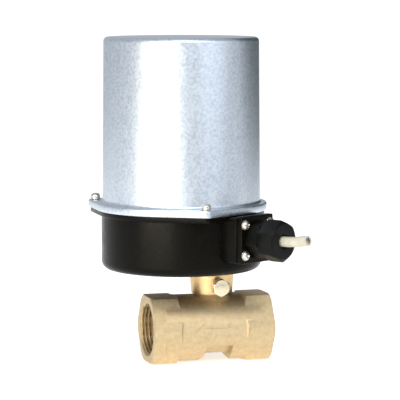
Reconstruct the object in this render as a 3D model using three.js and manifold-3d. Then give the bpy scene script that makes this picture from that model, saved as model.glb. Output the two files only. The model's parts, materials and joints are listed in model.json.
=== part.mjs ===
// Motorised zone valve: a Rc 1 brass ball valve turned by a geared motor in a round housing.
// Millimetres, +Z up. The origin is where the stem axis crosses the pipe axis. The pipe runs along X.
import * as THREE from "three";
import { mergeVertices } from "three/addons/utils/BufferGeometryUtils.js";
import Module from "manifold-3d";

const wasm = await Module();
wasm.setup();

// ---------------------------------------------------------------- driving sizes
const gap = 0.3; // running and resting clearance between separate pieces

// valve
const inletLength = 41.3; // from the stem axis to the inlet face; the ball goes in from this end
const outletLength = 34.3;
const hexAcrossFlats = 40;
const hexLength = 16;
const hexChamfer = 1.6;
const middleWall = 6.3; // brass round the ball cavity, between the hexagons
const portRadius = 15.15; // crest of the Rc 1 thread
const portDepth = 17;
const portChamfer = 1.5;
const ballRadius = 13.5;
const flowRadius = 9;
const pocketWidth = 17; // shallow recess under the middle of the body
const pocketMouth = 22;
const pocketWall = 2.2; // brass left between the recess and the ball cavity
const pocketRise = 11; // how far the recess climbs from the lowest point
const bonnetRadius = 10.4;
const collarHeight = 2.1;
const bonnetCover = 5; // brass above the stem collar
const stemRadius = 5;
const stemSquare = 7;
const collarOut = 1.6; // the stem collar stands this far out of the stem
const washerThickness = 1;
const seatThickness = 5.5;
const retainerLength = 4.5;

// neck between valve and housing
const neckTopRadius = 13.7;
const neckBottomRadius = 12.6;
const neckBossRadius = 8.6;
const neckBossHeight = 10.3;
const neckLength = 15.7;
const neckSkirt = 1.5; // how far the sleeve comes down over the bonnet
const neckWasherThickness = 1.6;
const spigotRadius = 9;
const lockNutFlats = 24;
const lockNutHeight = 5;
const clampBoltAngle = 3; // the bolt points this far towards +X of straight forward
const clampBoltFlats = 10;
const clampBoltHead = 4.2;
const clampBoltRadius = 2.5;
const clampBoltRise = 4.9; // above the foot of the sleeve

// housing
const housingOffset = 19.2; // housing axis lies this far towards -X of the stem
const drumRadius = 48.5;
const drumWall = 2.5;
const drumFloor = 3;
const drumCorner = 5;
const drumHeight = 32.8; // from its underside to the rim band
const rimHeight = 5.6;
const rimOverhang = 2;
const screwOut = 4; // the screw circle lies this far outside the rim
const earRadius = 3;
const earAngles = [-90, 30, 150];
const gasketThickness = 0.6;
const coverSheet = 1;
const skirtDepth = 3.5; // how far the cover's edge turns down past the gasket seat
const coverHeight = 100.9; // from the cover's seat to its top
const coverInset = 0.7; // the can is this much smaller than the drum
const coverDraft = 0.8; // the drawn can is this much smaller in radius at its top
const coverCorner = 2.5;
const coverScrewRadius = 1.5;
const coverScrewHead = 2.75;

// cable gland
const glandAngle = -58;
const glandRise = 22.5; // above the drum's underside
const glandBossOut = 8.5; // the flat of the boss stands this far out of the drum
const glandPlateWidth = 28;
const glandPlateHeight = 28;
const glandPlateThickness = 4;
const glandScrewSpan = 22;
const glandScrewRise = 18;
const glandThreadRadius = 7.7;
const glandBossRelief = 1; // keeps the boss clear of the cover's skirt
const glandBodyFlats = 20;
const glandBodyHexLength = 8.8;
const glandNutFlats = 22;
const glandNutLength = 11.3;
const glandBodyTurn = -18; // how far its corners are turned from upright
const glandNutTurn = 5;
const cableRadius = 3;

// gear train
const plateInset = 3; // between the plates and the drum wall
const plateThickness = 1.6;
const lowerPlateRise = 27; // above the drum's underside
const plateSpacing = 20;
const pillarRadius = 3;
const pillarInset = 3.5; // pillar centres from the plate edge
const pillarScrewRadius = 1.5;
const pillarAngles = [55, 136, 275];
const gearModule = 1;
const pressureAngle = 25;
const addendum = 0.8;
const rootClearance = 0.25;
const toothPlay = 0.15; // taken off each tooth's thickness
const outputTeeth = 48;
const pinionTeeth = 12;
const idlerTeeth = 36;
const idlerDirection = 150; // from the stem axis
const motorDirection = -120; // from the idler axis
const shaftProud = 2.5; // above the upper cam
const bushWall = 2.2;
const outputGearWidth = 5.5;
const idlerWheelWidth = 4.6;
const idlerPinRadius = 2;
const motorShaftRadius = 2;

// motor, switches and electrics
const gearboxRadius = 20;
const gearboxHeight = 18;
const motorRadius = 17.5;
const motorHeight = 42;
const endCapHeight = 4;
const motorEarReach = 24;
const motorEarRadius = 5.5;
const camRadius = 12;
const camDwellRadius = 10;
const camWidth = 4.5;
const switchLength = 20;
const switchDepth = 10;
const switchHeight = 6.4;
const plungerReach = 1.6;
const plungerWidth = 2.8;
const plungerHeight = 1.8;
const capacitorRadius = 10;
const capacitorHeight = 40;
const boardThickness = 1.6;
const boardLift = 26;
const terminalPoles = 5;
const terminalPitch = 6.5;

// facets
const fine = 32;
const round = 20;
const small = 10;
const tiny = 8;
const rimSteps = 7;
const earSteps = 4;

// ---------------------------------------------------------------- places worked out from the sizes
const inletFloor = inletLength - portDepth;
const outletFloor = outletLength - portDepth;
const cavityRadius = ballRadius + 2 * gap;
const seatOuter = cavityRadius - gap;
const seatBack = ballRadius + 2;
const retainerFrom = seatBack + gap;
const retainerTo = retainerFrom + retainerLength;
const middleRadius = cavityRadius + middleWall;
const pocketFloor = cavityRadius + pocketWall;
const collarRadius = stemRadius + collarOut;
const collarTop = ballRadius + collarHeight + washerThickness + 3 * gap;
const bonnetHeight = collarTop + bonnetCover;
const neckBottom = bonnetHeight - neckSkirt;
const neckTop = neckBottom + neckLength;
const drumBottom = neckTop + gap;
const rimBottom = drumBottom + drumHeight;
const rimTop = rimBottom + rimHeight;
const neckBossTop = bonnetHeight + neckBossHeight;
const neckWasherBottom = neckBossTop + gap;
const neckWasherTop = neckWasherBottom + neckWasherThickness;
const stemRingHeight = bonnetHeight + 2;
const stemRingWire = 0.65;
const clampBoltHeight = neckBottom + clampBoltRise;
const floorTop = drumBottom + drumFloor;
const lockNutTop = floorTop + gap + lockNutHeight;
const spigotTop = lockNutTop + 1;
const stemShoulder = spigotTop + 0.5;
const socketBottom = stemShoulder + 2.5;
const stemTop = socketBottom + 9;
const lowerPlateHeight = drumBottom + lowerPlateRise;
const upperPlateHeight = lowerPlateHeight + plateSpacing;
const socketTop = lowerPlateHeight - 1.5;
const drumInner = drumRadius - drumWall;
const rimRadius = drumRadius + rimOverhang;
const screwCircle = rimRadius + screwOut;
const glandFace = drumRadius + glandBossOut;
const glandHeight = drumBottom + glandRise;
const plateRadius = drumInner - plateInset;
const pillarCircle = plateRadius - pillarInset;
const gasketBottom = rimTop + gap;
const gasketTop = gasketBottom + gasketThickness;
const flangeBottom = gasketTop + gap;
const flangeTop = flangeBottom + coverSheet;
const coverTop = flangeBottom + coverHeight;
const coverRadius = drumRadius - coverInset;
const skirtBottom = flangeBottom - skirtDepth;
const earReliefRadius = coverScrewRadius + gap;
const outputPitch = (gearModule * outputTeeth) / 2;
const pinionPitch = (gearModule * pinionTeeth) / 2;
const idlerPitch = (gearModule * idlerTeeth) / 2;
const idlerDistance = outputPitch + pinionPitch;
const motorDistance = idlerPitch + pinionPitch;
const idlerPlace = polar(0, 0, idlerDistance, idlerDirection);
const motorPlace = polar(idlerPlace.x, idlerPlace.y, motorDistance, motorDirection);
const lowerPlateTop = lowerPlateHeight + plateThickness;
const upperPlateTop = upperPlateHeight + plateThickness;
const bushFlangeTop = lowerPlateTop + gap + 0.8;
const outputGearBottom = bushFlangeTop + gap;
const outputGearTop = outputGearBottom + outputGearWidth;
const idlerBottom = lowerPlateTop + gap;
const idlerWheelBottom = outputGearTop + 1.6;
const idlerTop = idlerWheelBottom + idlerWheelWidth;
const motorPinionBottom = idlerWheelBottom - 0.6;
const motorPinionTop = idlerTop + 0.6;
const deck = upperPlateTop + gap; // everything on the upper plate stands here
const gearboxTop = deck + gearboxHeight;
const motorBottom = gearboxTop + gap;
const motorTop = motorBottom + motorHeight;
const lowerCamBottom = deck + 3.4;
const upperCamBottom = lowerCamBottom + switchHeight + gap;
const outputShaftTop = upperCamBottom + camWidth + shaftProud;
const switchFront = -(camRadius + gap + plungerReach);
const boardHeight = deck + boardLift;

// ---------------------------------------------------------------- shapes
function polar(x, y, radius, degrees) {
  const a = THREE.MathUtils.degToRad(degrees);
  return new THREE.Vector2(x + radius * Math.cos(a), y + radius * Math.sin(a));
}

// A turned solid about Z from a closed outline of [radius, height] points, in either direction.
function turned(outline, segments = fine) {
  const points = outline.map(([r, z]) => new THREE.Vector2(r, z));
  if (THREE.ShapeUtils.area(points) < 0) points.reverse();
  const first = points.findIndex((p) => p.x === 0);
  const start = first < 0 ? 0 : first;
  const ordered = points.slice(start).concat(points.slice(0, start));
  const onAxis = ordered.filter((p) => p.x === 0).length;
  // a profile on the axis starts and ends there; any other profile closes on itself
  if (onAxis === 2 && ordered[1].x === 0) ordered.push(ordered.shift());
  if (onAxis === 0) ordered.push(ordered[0].clone());
  return new THREE.LatheGeometry(ordered, segments).rotateX(Math.PI / 2);
}

function rod(radius, from, to, segments = small) {
  return turned([[0, from], [radius, from], [radius, to], [0, to]], segments);
}

function ring(inner, outer, from, to, segments = fine) {
  return turned([[inner, from], [outer, from], [outer, to], [inner, to]], segments);
}

function block(x0, x1, y0, y1, z0, z1) {
  const box = new THREE.BoxGeometry(x1 - x0, y1 - y0, z1 - z0);
  return box.translate((x0 + x1) / 2, (y0 + y1) / 2, (z0 + z1) / 2);
}

function prism(shape, from, to, segments = small) {
  const options = { depth: to - from, bevelEnabled: false, curveSegments: segments };
  return new THREE.ExtrudeGeometry(shape, options).translate(0, 0, from);
}

// A hexagon by its size across flats, with one corner turned to the given angle.
function hexagon(acrossFlats, cornerAngle = 0) {
  const corner = acrossFlats / 2 / Math.cos(Math.PI / 6);
  const corners = [0, 60, 120, 180, 240, 300].map((a) => polar(0, 0, corner, a + cornerAngle));
  return new THREE.Shape(corners);
}

function hole(x, y, radius) {
  return new THREE.Path().absarc(x, y, radius, 0, Math.PI * 2, true);
}

function toManifold(geometry) {
  const bare = geometry.index ? geometry.toNonIndexed() : geometry.clone();
  bare.deleteAttribute("normal");
  bare.deleteAttribute("uv");
  const merged = mergeVertices(bare, 1e-4);
  const vertProperties = merged.attributes.position.array;
  const triVerts = new Uint32Array(merged.index.array);
  return new wasm.Manifold(new wasm.Mesh({ numProp: 3, vertProperties, triVerts }));
}

function toGeometry(solid) {
  const mesh = solid.getMesh();
  const geometry = new THREE.BufferGeometry();
  geometry.setAttribute("position", new THREE.BufferAttribute(mesh.vertProperties, 3));
  geometry.setIndex(new THREE.BufferAttribute(mesh.triVerts, 1));
  return geometry;
}

function join(...geometries) {
  const solids = geometries.map(toManifold);
  return toGeometry(solids.reduce((sum, next) => sum.add(next)));
}

function cut(geometry, ...tools) {
  const solids = tools.map(toManifold);
  return toGeometry(solids.reduce((rest, next) => rest.subtract(next), toManifold(geometry)));
}

function common(geometry, other) {
  return toGeometry(toManifold(geometry).intersect(toManifold(other)));
}

// The same geometry at several places on one node.
function repeat(geometry, places) {
  return join(...places.map((p) => geometry.clone().translate(p.x, p.y, p.z ?? 0)));
}

// ---------------------------------------------------------------- nodes
const assembly = new THREE.Group();
const valve = new THREE.Group();
const housing = new THREE.Group();
const gland = new THREE.Group();
housing.position.x = -housingOffset;
gland.position.z = glandHeight;
gland.rotation.z = THREE.MathUtils.degToRad(glandAngle);
housing.add(gland);
assembly.add(valve, housing);

const finishes = {
  brass: { color: 0xc9b98a, roughness: 0.45, metalness: 1 },
  steel: { color: 0xb9bcc0, roughness: 0.35, metalness: 1 },
  zinc: { color: 0xc6cbd0, roughness: 0.4, metalness: 1 },
  blackPaint: { color: 0x1b1a1a, roughness: 0.35, metalness: 0 },
  blackPlastic: { color: 0x1d1d1e, roughness: 0.45, metalness: 0 },
  whitePlastic: { color: 0xe9e6dc, roughness: 0.5, metalness: 0 },
  greyPvc: { color: 0xd3d1c8, roughness: 0.55, metalness: 0 },
  ptfe: { color: 0xf1f1ee, roughness: 0.5, metalness: 0 },
  rubber: { color: 0x222222, roughness: 0.8, metalness: 0 },
  board: { color: 0x1f5a37, roughness: 0.5, metalness: 0 },
  film: { color: 0x2b4a7c, roughness: 0.4, metalness: 0 },
};

function node(parent, name, geometry, finish, place) {
  const mesh = new THREE.Mesh(geometry, new THREE.MeshStandardMaterial(finishes[finish]));
  mesh.name = name;
  if (place) mesh.position.set(place.x, place.y, place.z ?? 0);
  parent.add(mesh);
}

// One node for each place, numbered from 1.
function series(parent, name, geometry, finish, places) {
  places.forEach((place, i) => node(parent, `${name}_${i + 1}`, geometry.clone(), finish, place));
}

// ---------------------------------------------------------------- valve body
function alongX(geometry) {
  return geometry.rotateY(Math.PI / 2);
}

// The recess under the middle: a wedge across the body that stops at an inner round core.
function pocket() {
  const floor = pocketWidth / 2;
  const mouth = pocketMouth / 2;
  const lowest = -middleRadius - 1;
  const roof = pocketRise - middleRadius;
  const outline = new THREE.Shape([
    new THREE.Vector2(-mouth, lowest), new THREE.Vector2(mouth, lowest),
    new THREE.Vector2(floor, -pocketFloor), new THREE.Vector2(floor, roof),
    new THREE.Vector2(-floor, roof), new THREE.Vector2(-floor, -pocketFloor),
  ]);
  const wedge = prism(outline, -middleRadius, middleRadius).rotateX(Math.PI / 2);
  return cut(wedge, alongX(rod(pocketFloor, -mouth - 1, mouth + 1, round)));
}

// The threaded socket of one end, made along Z with its face at the given distance.
function port(face) {
  const floor = face - portDepth;
  const chamferOuter = portRadius + portChamfer;
  return turned([
    [0, floor], [portRadius, floor], [portRadius, face - portChamfer],
    [chamferOuter, face], [chamferOuter, face + 1], [0, face + 1],
  ], round);
}

function valveBody() {
  const cornerRadius = hexAcrossFlats / 2 / Math.cos(Math.PI / 6);
  const faceRadius = cornerRadius - hexChamfer;
  const bar = prism(hexagon(hexAcrossFlats, 90), -inletLength, outletLength);
  const crown = turned([
    [0, -inletLength], [faceRadius, -inletLength], [cornerRadius + 0.1, -inletLength + hexChamfer],
    [cornerRadius + 0.1, outletLength - hexChamfer], [faceRadius, outletLength], [0, outletLength],
  ], fine);
  const waistFrom = hexLength - inletLength;
  const waistTo = outletLength - hexLength;
  let body = cut(common(bar, crown), ring(0.1, cornerRadius + 2, waistFrom, waistTo, fine));
  body = alongX(join(body, rod(middleRadius, waistFrom - 1, waistTo + 1, fine)));
  body = join(body, rod(bonnetRadius, 0, bonnetHeight, round));
  body = join(body, rod(neckBossRadius, 0, neckBossTop, round));

  const cavity = rod(cavityRadius, -inletFloor - 1, seatBack + gap, round);
  const flow = rod(flowRadius, 0, outletFloor + 1, round);
  const ways = [port(outletLength), port(inletLength).rotateX(Math.PI), cavity, flow].map(alongX);
  const stemHole = rod(stemRadius + gap, 0, neckBossTop + 1, round);
  const collarHole = rod(collarRadius + gap, 0, collarTop, round);
  body = cut(body, ...ways, stemHole, collarHole);

  // the clamp bolt's tip sits in a groove round the neck boss
  const grooveHalf = clampBoltRadius + gap;
  const grooveBottom = clampBoltHeight - grooveHalf;
  const grooveTop = clampBoltHeight + grooveHalf;
  const groove = ring(neckBossRadius - 1, neckBossRadius + 1, grooveBottom, grooveTop, round);
  return cut(body, groove, pocket());
}

function valveBall() {
  const ball = new THREE.SphereGeometry(ballRadius, round, small).rotateX(Math.PI / 2);
  const bore = alongX(rod(flowRadius, -ballRadius - 1, ballRadius + 1, round));
  const slotHalf = stemSquare / 2 - 0.7;
  const slot = block(-slotHalf, slotHalf, -ballRadius, ballRadius, ballRadius - 3, ballRadius + 1);
  return cut(ball, bore, slot);
}

// A seat ring on the +X side of the ball, with a face that follows the ball.
function seatRing() {
  const faceRadius = ballRadius + gap;
  const inner = flowRadius + gap;
  const front = seatBack - seatThickness;
  const across = (r) => Math.sqrt(Math.max(faceRadius ** 2 - r ** 2, 0));
  const wide = Math.sqrt(faceRadius ** 2 - front ** 2);
  const steps = [0, 0.25, 0.5, 0.75, 1].map((t) => inner + (Math.min(wide, seatOuter - 1) - inner) * t);
  const face = steps.map((r) => [r, across(r) + 0.1]);
  const lip = face[face.length - 1][1];
  return alongX(turned([...face, [seatOuter, lip], [seatOuter, seatBack], [inner, seatBack]], round));
}

function seatRetainer() {
  const sleeve = ring(flowRadius, seatOuter, retainerFrom, retainerTo, round);
  const slotHalf = 1.5;
  const slotFloor = retainerTo - 1.6;
  const slots = block(-slotHalf, slotHalf, -seatOuter - 1, seatOuter + 1, slotFloor, retainerTo + 1);
  return alongX(cut(sleeve, slots)).rotateZ(Math.PI);
}

function valveStem() {
  const tangHalf = stemSquare / 2 - 1;
  const tang = block(-tangHalf, tangHalf, -stemRadius, stemRadius, ballRadius - 3 + gap, ballRadius + 1);
  const collar = rod(collarRadius, ballRadius + gap, ballRadius + gap + collarHeight, small);
  const shank = rod(stemRadius, ballRadius + gap, stemShoulder, small);
  const half = stemSquare / 2;
  const square = block(-half, half, -half, half, stemShoulder - 1, stemTop);
  const groove = ring(stemRadius - 1.6, stemRadius + 1, stemRingHeight - 1, stemRingHeight + 1, small);
  return cut(join(tang, collar, shank, square), groove);
}

node(valve, "valve_body", valveBody(), "brass");
node(valve, "ball", valveBall(), "steel");
node(valve, "outlet_seat", seatRing(), "ptfe");
node(valve, "inlet_seat", seatRing().rotateZ(Math.PI), "ptfe");
node(valve, "seat_retainer", seatRetainer(), "brass");
node(valve, "stem", valveStem(), "brass");
const washerTop = collarTop - gap;
const thrustWasher = ring(stemRadius + gap, collarRadius, washerTop - washerThickness, washerTop, small);
node(valve, "thrust_washer", thrustWasher, "ptfe");
const stemRing = new THREE.TorusGeometry(stemRadius - 0.6, stemRingWire, 8, small);
node(valve, "stem_o_ring", stemRing.translate(0, 0, stemRingHeight), "rubber");

// ---------------------------------------------------------------- neck
// Turns a solid that was made along +Z to lie on the clamp bolt's axis.
function towardsBolt(geometry) {
  const turn = THREE.MathUtils.degToRad(clampBoltAngle);
  return geometry.rotateX(Math.PI / 2).rotateZ(turn).translate(0, 0, clampBoltHeight);
}

function neckSleeve() {
  const bore = neckBossRadius + gap;
  const skirt = bonnetRadius + gap;
  const sleeve = turned([
    [skirt, neckBottom], [neckBottomRadius, neckBottom],
    [neckTopRadius, neckTop - 1.4], [neckTopRadius, neckTop],
    [spigotRadius, neckTop], [spigotRadius, spigotTop], [stemRadius + gap, spigotTop],
    [stemRadius + gap, neckWasherTop + gap], [bore, neckWasherTop + gap],
    [bore, bonnetHeight + gap], [skirt, bonnetHeight + gap],
  ], round);
  return cut(sleeve, towardsBolt(rod(clampBoltRadius + gap, 0, neckTopRadius + 1, small)));
}

function clampBolt() {
  const tip = neckBossRadius - 1 + gap;
  const seat = neckTopRadius + gap;
  const shank = rod(clampBoltRadius, tip, seat + 1, small);
  const crown = turned([
    [0, seat], [clampBoltFlats * 0.6, seat], [clampBoltFlats * 0.6, seat + clampBoltHead - 0.6],
    [clampBoltFlats * 0.47, seat + clampBoltHead], [0, seat + clampBoltHead],
  ], small);
  const head = common(prism(hexagon(clampBoltFlats), seat, seat + clampBoltHead), crown);
  return towardsBolt(join(shank, head));
}

const neckWasher = ring(stemRadius + gap, neckBossRadius, neckWasherBottom, neckWasherTop, round);
node(valve, "neck_washer", neckWasher, "whitePlastic");
node(valve, "neck_sleeve", neckSleeve(), "brass");
node(valve, "clamp_bolt", clampBolt(), "steel");
const lockNut = prism(hexagon(lockNutFlats, 30), floorTop + gap, lockNutTop);
const lockNutWay = rod(spigotRadius + gap, floorTop, lockNutTop + 1, round);
node(valve, "neck_lock_nut", cut(lockNut, lockNutWay), "steel");

// ---------------------------------------------------------------- housing base and cover
// The outline of the flange: a circle and three small ear circles, joined by straight tangents.
function earedOutline(radius, ear) {
  const spread = THREE.MathUtils.radToDeg(Math.acos((radius - ear) / screwCircle));
  const pitch = 360 / earAngles.length;
  const points = [];
  for (const angle of earAngles) {
    const centre = polar(0, 0, screwCircle, angle);
    for (let i = 0; i <= earSteps; i += 1) {
      points.push(polar(centre.x, centre.y, ear, angle - spread + (2 * spread * i) / earSteps));
    }
    for (let i = 0; i <= rimSteps; i += 1) {
      points.push(polar(0, 0, radius, angle + spread + ((pitch - 2 * spread) * i) / rimSteps));
    }
  }
  return new THREE.Shape(points);
}

function earPlaces() {
  return earAngles.map((angle) => polar(0, 0, screwCircle, angle));
}

function earHoles(radius, from, to) {
  return repeat(rod(radius, from, to, small), earPlaces());
}

function roundedDrum(radius, bottom, top, corner) {
  const outline = [[0, bottom]];
  const steps = 4;
  for (let i = 0; i <= steps; i += 1) {
    const a = (Math.PI / 2) * (i / steps);
    outline.push([radius - corner + corner * Math.sin(a), bottom + corner - corner * Math.cos(a)]);
  }
  outline.push([radius, top], [0, top]);
  return turned(outline);
}

// Turns a solid that was made along +Z to point out of the gland, at a distance from the housing axis.
function towardsGland(geometry) {
  const turn = THREE.MathUtils.degToRad(glandAngle);
  return geometry.rotateY(Math.PI / 2).rotateZ(turn).translate(0, 0, glandHeight);
}

function baseHousing() {
  const drum = roundedDrum(drumRadius, drumBottom, rimBottom + 1, drumCorner);
  const band = prism(earedOutline(rimRadius, earRadius), rimBottom, rimTop);
  const inside = roundedDrum(drumInner, floorTop, rimTop + 1, drumCorner - 1);
  const halfWidth = glandPlateWidth / 2;
  const halfHeight = glandPlateHeight / 2;
  const bossTop = glandBossRelief - halfHeight;
  const boss = towardsGland(block(bossTop, halfHeight, -halfWidth, halfWidth, 30, glandFace));
  const way = towardsGland(rod(glandThreadRadius + gap, 20, glandFace + 1, round));
  const screwWay = rod(coverScrewRadius + gap, glandFace - 7, glandFace + 1, tiny);
  const screwWays = towardsGland(repeat(screwWay, glandScrewPlaces()));
  const neckWay = rod(spigotRadius + gap, drumBottom - 1, floorTop + 1, round).translate(housingOffset, 0, 0);
  const earWays = earHoles(earReliefRadius, rimBottom - 1, rimTop + 1);
  const shell = cut(join(drum, band, boss), inside, way, screwWays, neckWay, earWays);
  const bossPlaces = pillarAngles.map((angle) => polar(0, 0, pillarCircle, angle));
  const plateBoss = rod(pillarRadius, floorTop - 1, lowerPlateHeight - gap, small);
  const studWay = rod(pillarScrewRadius + gap, lowerPlateHeight - 9, lowerPlateHeight, tiny);
  return join(shell, repeat(cut(plateBoss, studWay), bossPlaces));
}

// Screw places on the gland plate, in the plane that towardsGland turns upright.
function glandScrewPlaces() {
  const places = [];
  for (const rise of [-1, 1]) {
    for (const side of [-1, 1]) {
      places.push({ x: (rise * glandScrewRise) / 2, y: (side * glandScrewSpan) / 2 });
    }
  }
  return places;
}

function coverGasket() {
  const outline = earedOutline(rimRadius, earRadius);
  outline.holes.push(hole(0, 0, drumInner + 0.5));
  const sheet = prism(outline, gasketBottom, gasketTop);
  return cut(sheet, earHoles(earReliefRadius, gasketBottom - 1, gasketTop + 1));
}

function coverCan(inset) {
  const bottomRadius = coverRadius - inset;
  const topRadius = coverRadius - coverDraft - inset;
  const top = coverTop - inset;
  const corner = coverCorner - inset;
  const outline = [[0, flangeBottom - inset], [bottomRadius, flangeBottom - inset]];
  const steps = 3;
  for (let i = 0; i <= steps; i += 1) {
    const a = (Math.PI / 2) * (i / steps);
    outline.push([topRadius - corner + corner * Math.cos(a), top - corner + corner * Math.sin(a)]);
  }
  outline.push([0, top]);
  return turned(outline);
}

function cover() {
  const skirtRadius = rimRadius + gap;
  const skirtEar = earRadius + gap;
  const outside = earedOutline(skirtRadius + coverSheet, skirtEar + coverSheet);
  const flange = prism(outside, skirtBottom, flangeTop);
  const hollow = prism(earedOutline(skirtRadius, skirtEar), skirtBottom - 1, flangeBottom);
  const screwWays = earHoles(coverScrewRadius + gap, flangeBottom - 1, flangeTop + 1);
  return cut(join(flange, coverCan(0)), coverCan(coverSheet), hollow, screwWays);
}

// A pan-head screw pointing down, its head resting at height seat.
function panScrew(seat, length, radius, headRadius, headHeight) {
  return turned([
    [0, seat - length], [radius, seat - length], [radius, seat], [headRadius, seat],
    [headRadius, seat + headHeight * 0.55], [headRadius * 0.62, seat + headHeight], [0, seat + headHeight],
  ], small);
}

const washerHeight = 1.3;
const coverScrewSeat = flangeTop + gap + washerHeight;
const coverScrewShank = coverScrewSeat - rimBottom - 0.5;
const coverScrewBody = panScrew(coverScrewSeat, coverScrewShank, coverScrewRadius, coverScrewHead, 2.2);
const captiveWasher = rod(coverScrewHead + 0.3, coverScrewSeat - washerHeight, coverScrewSeat + 0.1, small);
const coverScrew = join(coverScrewBody, captiveWasher);
node(housing, "base_housing", baseHousing(), "blackPaint");
node(housing, "cover_gasket", coverGasket(), "rubber");
node(housing, "cover", cover(), "zinc");
series(housing, "cover_screw", coverScrew, "steel", earPlaces());

// ---------------------------------------------------------------- cable gland
// Its pieces are made along X, measured from the housing axis.
function glandPlate() {
  const halfWidth = glandPlateWidth / 2;
  const halfHeight = glandPlateHeight / 2;
  const back = glandFace + gap;
  const front = back + glandPlateThickness;
  const plate = block(-halfHeight, halfHeight, -halfWidth, halfWidth, back, front);
  const threadWay = rod(glandThreadRadius + gap, back - 1, front + 1, round);
  const screwWays = repeat(rod(coverScrewRadius + gap, back - 1, front + 1, tiny), glandScrewPlaces());
  return alongX(cut(plate, threadWay, screwWays));
}

const glandPlateFront = glandFace + gap + glandPlateThickness;
const glandScrewLength = glandPlateThickness + 5.5;
const glandScrew = panScrew(glandPlateFront + gap, glandScrewLength, coverScrewRadius, coverScrewHead, 2);
const shoulderBack = glandPlateFront + gap;
const shoulderFront = shoulderBack + glandBodyHexLength;
const nutBack = shoulderFront + gap;
const nutFront = nutBack + glandNutLength;
const sealBack = nutBack + 2;
const sealFront = nutFront - 2.4;
const cableStart = drumInner + 0.5;

function glandBody() {
  const inner = cableRadius + 2 * gap;
  const cup = glandThreadRadius - 1.2;
  const outer = glandThreadRadius + 0.9;
  const body = turned([
    [inner, cableStart + 3], [glandThreadRadius, cableStart + 3], [glandThreadRadius, shoulderBack + 1],
    [outer, shoulderBack + 1], [outer, sealFront - 0.6], [cup, sealFront - 0.6],
    [cup, sealBack - gap], [inner, sealBack - gap],
  ], round);
  const bar = prism(hexagon(glandBodyFlats, glandBodyTurn), shoulderBack, shoulderFront);
  const core = rod(glandThreadRadius - 1, shoulderBack - 1, shoulderFront + 1, round);
  return alongX(join(body, cut(bar, core)));
}

function glandSeal() {
  return alongX(ring(cableRadius + gap, glandThreadRadius - 1.5, sealBack, sealFront - gap, small));
}

function glandNut() {
  const corner = glandNutFlats / 2 / Math.cos(Math.PI / 6);
  const crown = turned([
    [0, nutBack], [corner + 0.1, nutBack], [corner + 0.1, nutFront - 2.2],
    [corner - 2.4, nutFront], [0, nutFront],
  ], round);
  const bar = prism(hexagon(glandNutFlats, glandNutTurn), nutBack, nutFront);
  const hollow = rod(glandThreadRadius + 0.9 + gap, nutBack - 1, sealFront, round);
  const way = rod(cableRadius + 2 * gap, sealFront - 1, nutFront + 1, small);
  return alongX(cut(common(bar, crown), hollow, way));
}

// The cable's points in the gland's own frame: straight through the gland, then a slight rise.
const cableRoute = [[46.5, 0], [60, 0], [81, 0], [90, 0.5], [100.2, 2]];

function cableSheath() {
  const points = cableRoute.map(([out, rise]) => new THREE.Vector3(out, 0, rise));
  const route = new THREE.CatmullRomCurve3(points);
  const section = new THREE.Shape().absarc(0, 0, cableRadius, 0, Math.PI * 2);
  return new THREE.ExtrudeGeometry(section, { steps: 6, curveSegments: 6, extrudePath: route });
}

node(gland, "gland_plate", glandPlate(), "blackPaint");
const glandScrewPoints = glandScrewPlaces().map((p) => ({ x: 0, y: p.y, z: -p.x }));
series(gland, "gland_plate_screw", alongX(glandScrew), "steel", glandScrewPoints);
node(gland, "gland_body", glandBody(), "blackPlastic");
node(gland, "gland_seal", glandSeal(), "rubber");
node(gland, "gland_nut", glandNut(), "blackPlastic");
node(gland, "cable_sheath", cableSheath(), "greyPvc");

// ---------------------------------------------------------------- gear plates and pillars
const stemPlace = new THREE.Vector2(0, 0);
const pillarPlaces = pillarAngles.map((angle) => polar(-housingOffset, 0, pillarCircle, angle));

function gearPlate(bottom, holes) {
  const top = bottom + plateThickness;
  const plate = rod(plateRadius, bottom, top, fine).translate(-housingOffset, 0, 0);
  const pillarHoles = pillarPlaces.map((place) => ({ place, radius: pillarScrewRadius + gap }));
  const drills = [...holes, ...pillarHoles].map((h) => {
    return rod(h.radius, bottom - 1, top + 1, small).translate(h.place.x, h.place.y, 0);
  });
  return cut(plate, ...drills);
}

const bushRadius = stemRadius + bushWall;
const bushHole = { place: stemPlace, radius: bushRadius + gap };
const idlerHole = { place: idlerPlace, radius: idlerPinRadius + gap };
const motorHole = { place: motorPlace, radius: 5 };
const motorEarPlaces = [90, -90].map((side) => {
  const away = THREE.MathUtils.radToDeg(Math.atan2(motorPlace.y, motorPlace.x + housingOffset));
  return polar(motorPlace.x, motorPlace.y, motorEarReach, away + side);
});
const motorScrewHoles = motorEarPlaces.map((place) => ({ place, radius: coverScrewRadius + gap }));

const pillarBottom = lowerPlateTop + gap;
const pillarBody = rod(pillarRadius, pillarBottom, upperPlateHeight - gap, small);
const pillarStud = rod(pillarScrewRadius, lowerPlateHeight - 7, pillarBottom + 1, tiny);
const plateScrewHole = rod(pillarScrewRadius + gap, upperPlateHeight - 8, upperPlateHeight, tiny);
const pillar = join(cut(pillarBody, plateScrewHole), pillarStud);
const plateScrew = panScrew(deck, plateThickness + 6.5, pillarScrewRadius, coverScrewHead, 2);

function flangedBush(plateBottom) {
  const flangeSeat = plateBottom + plateThickness + gap;
  return turned([
    [stemRadius + gap, plateBottom - 0.8], [bushRadius, plateBottom - 0.8], [bushRadius, flangeSeat],
    [bushRadius + 2, flangeSeat], [bushRadius + 2, flangeSeat + 0.8], [stemRadius + gap, flangeSeat + 0.8],
  ], small);
}

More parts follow.
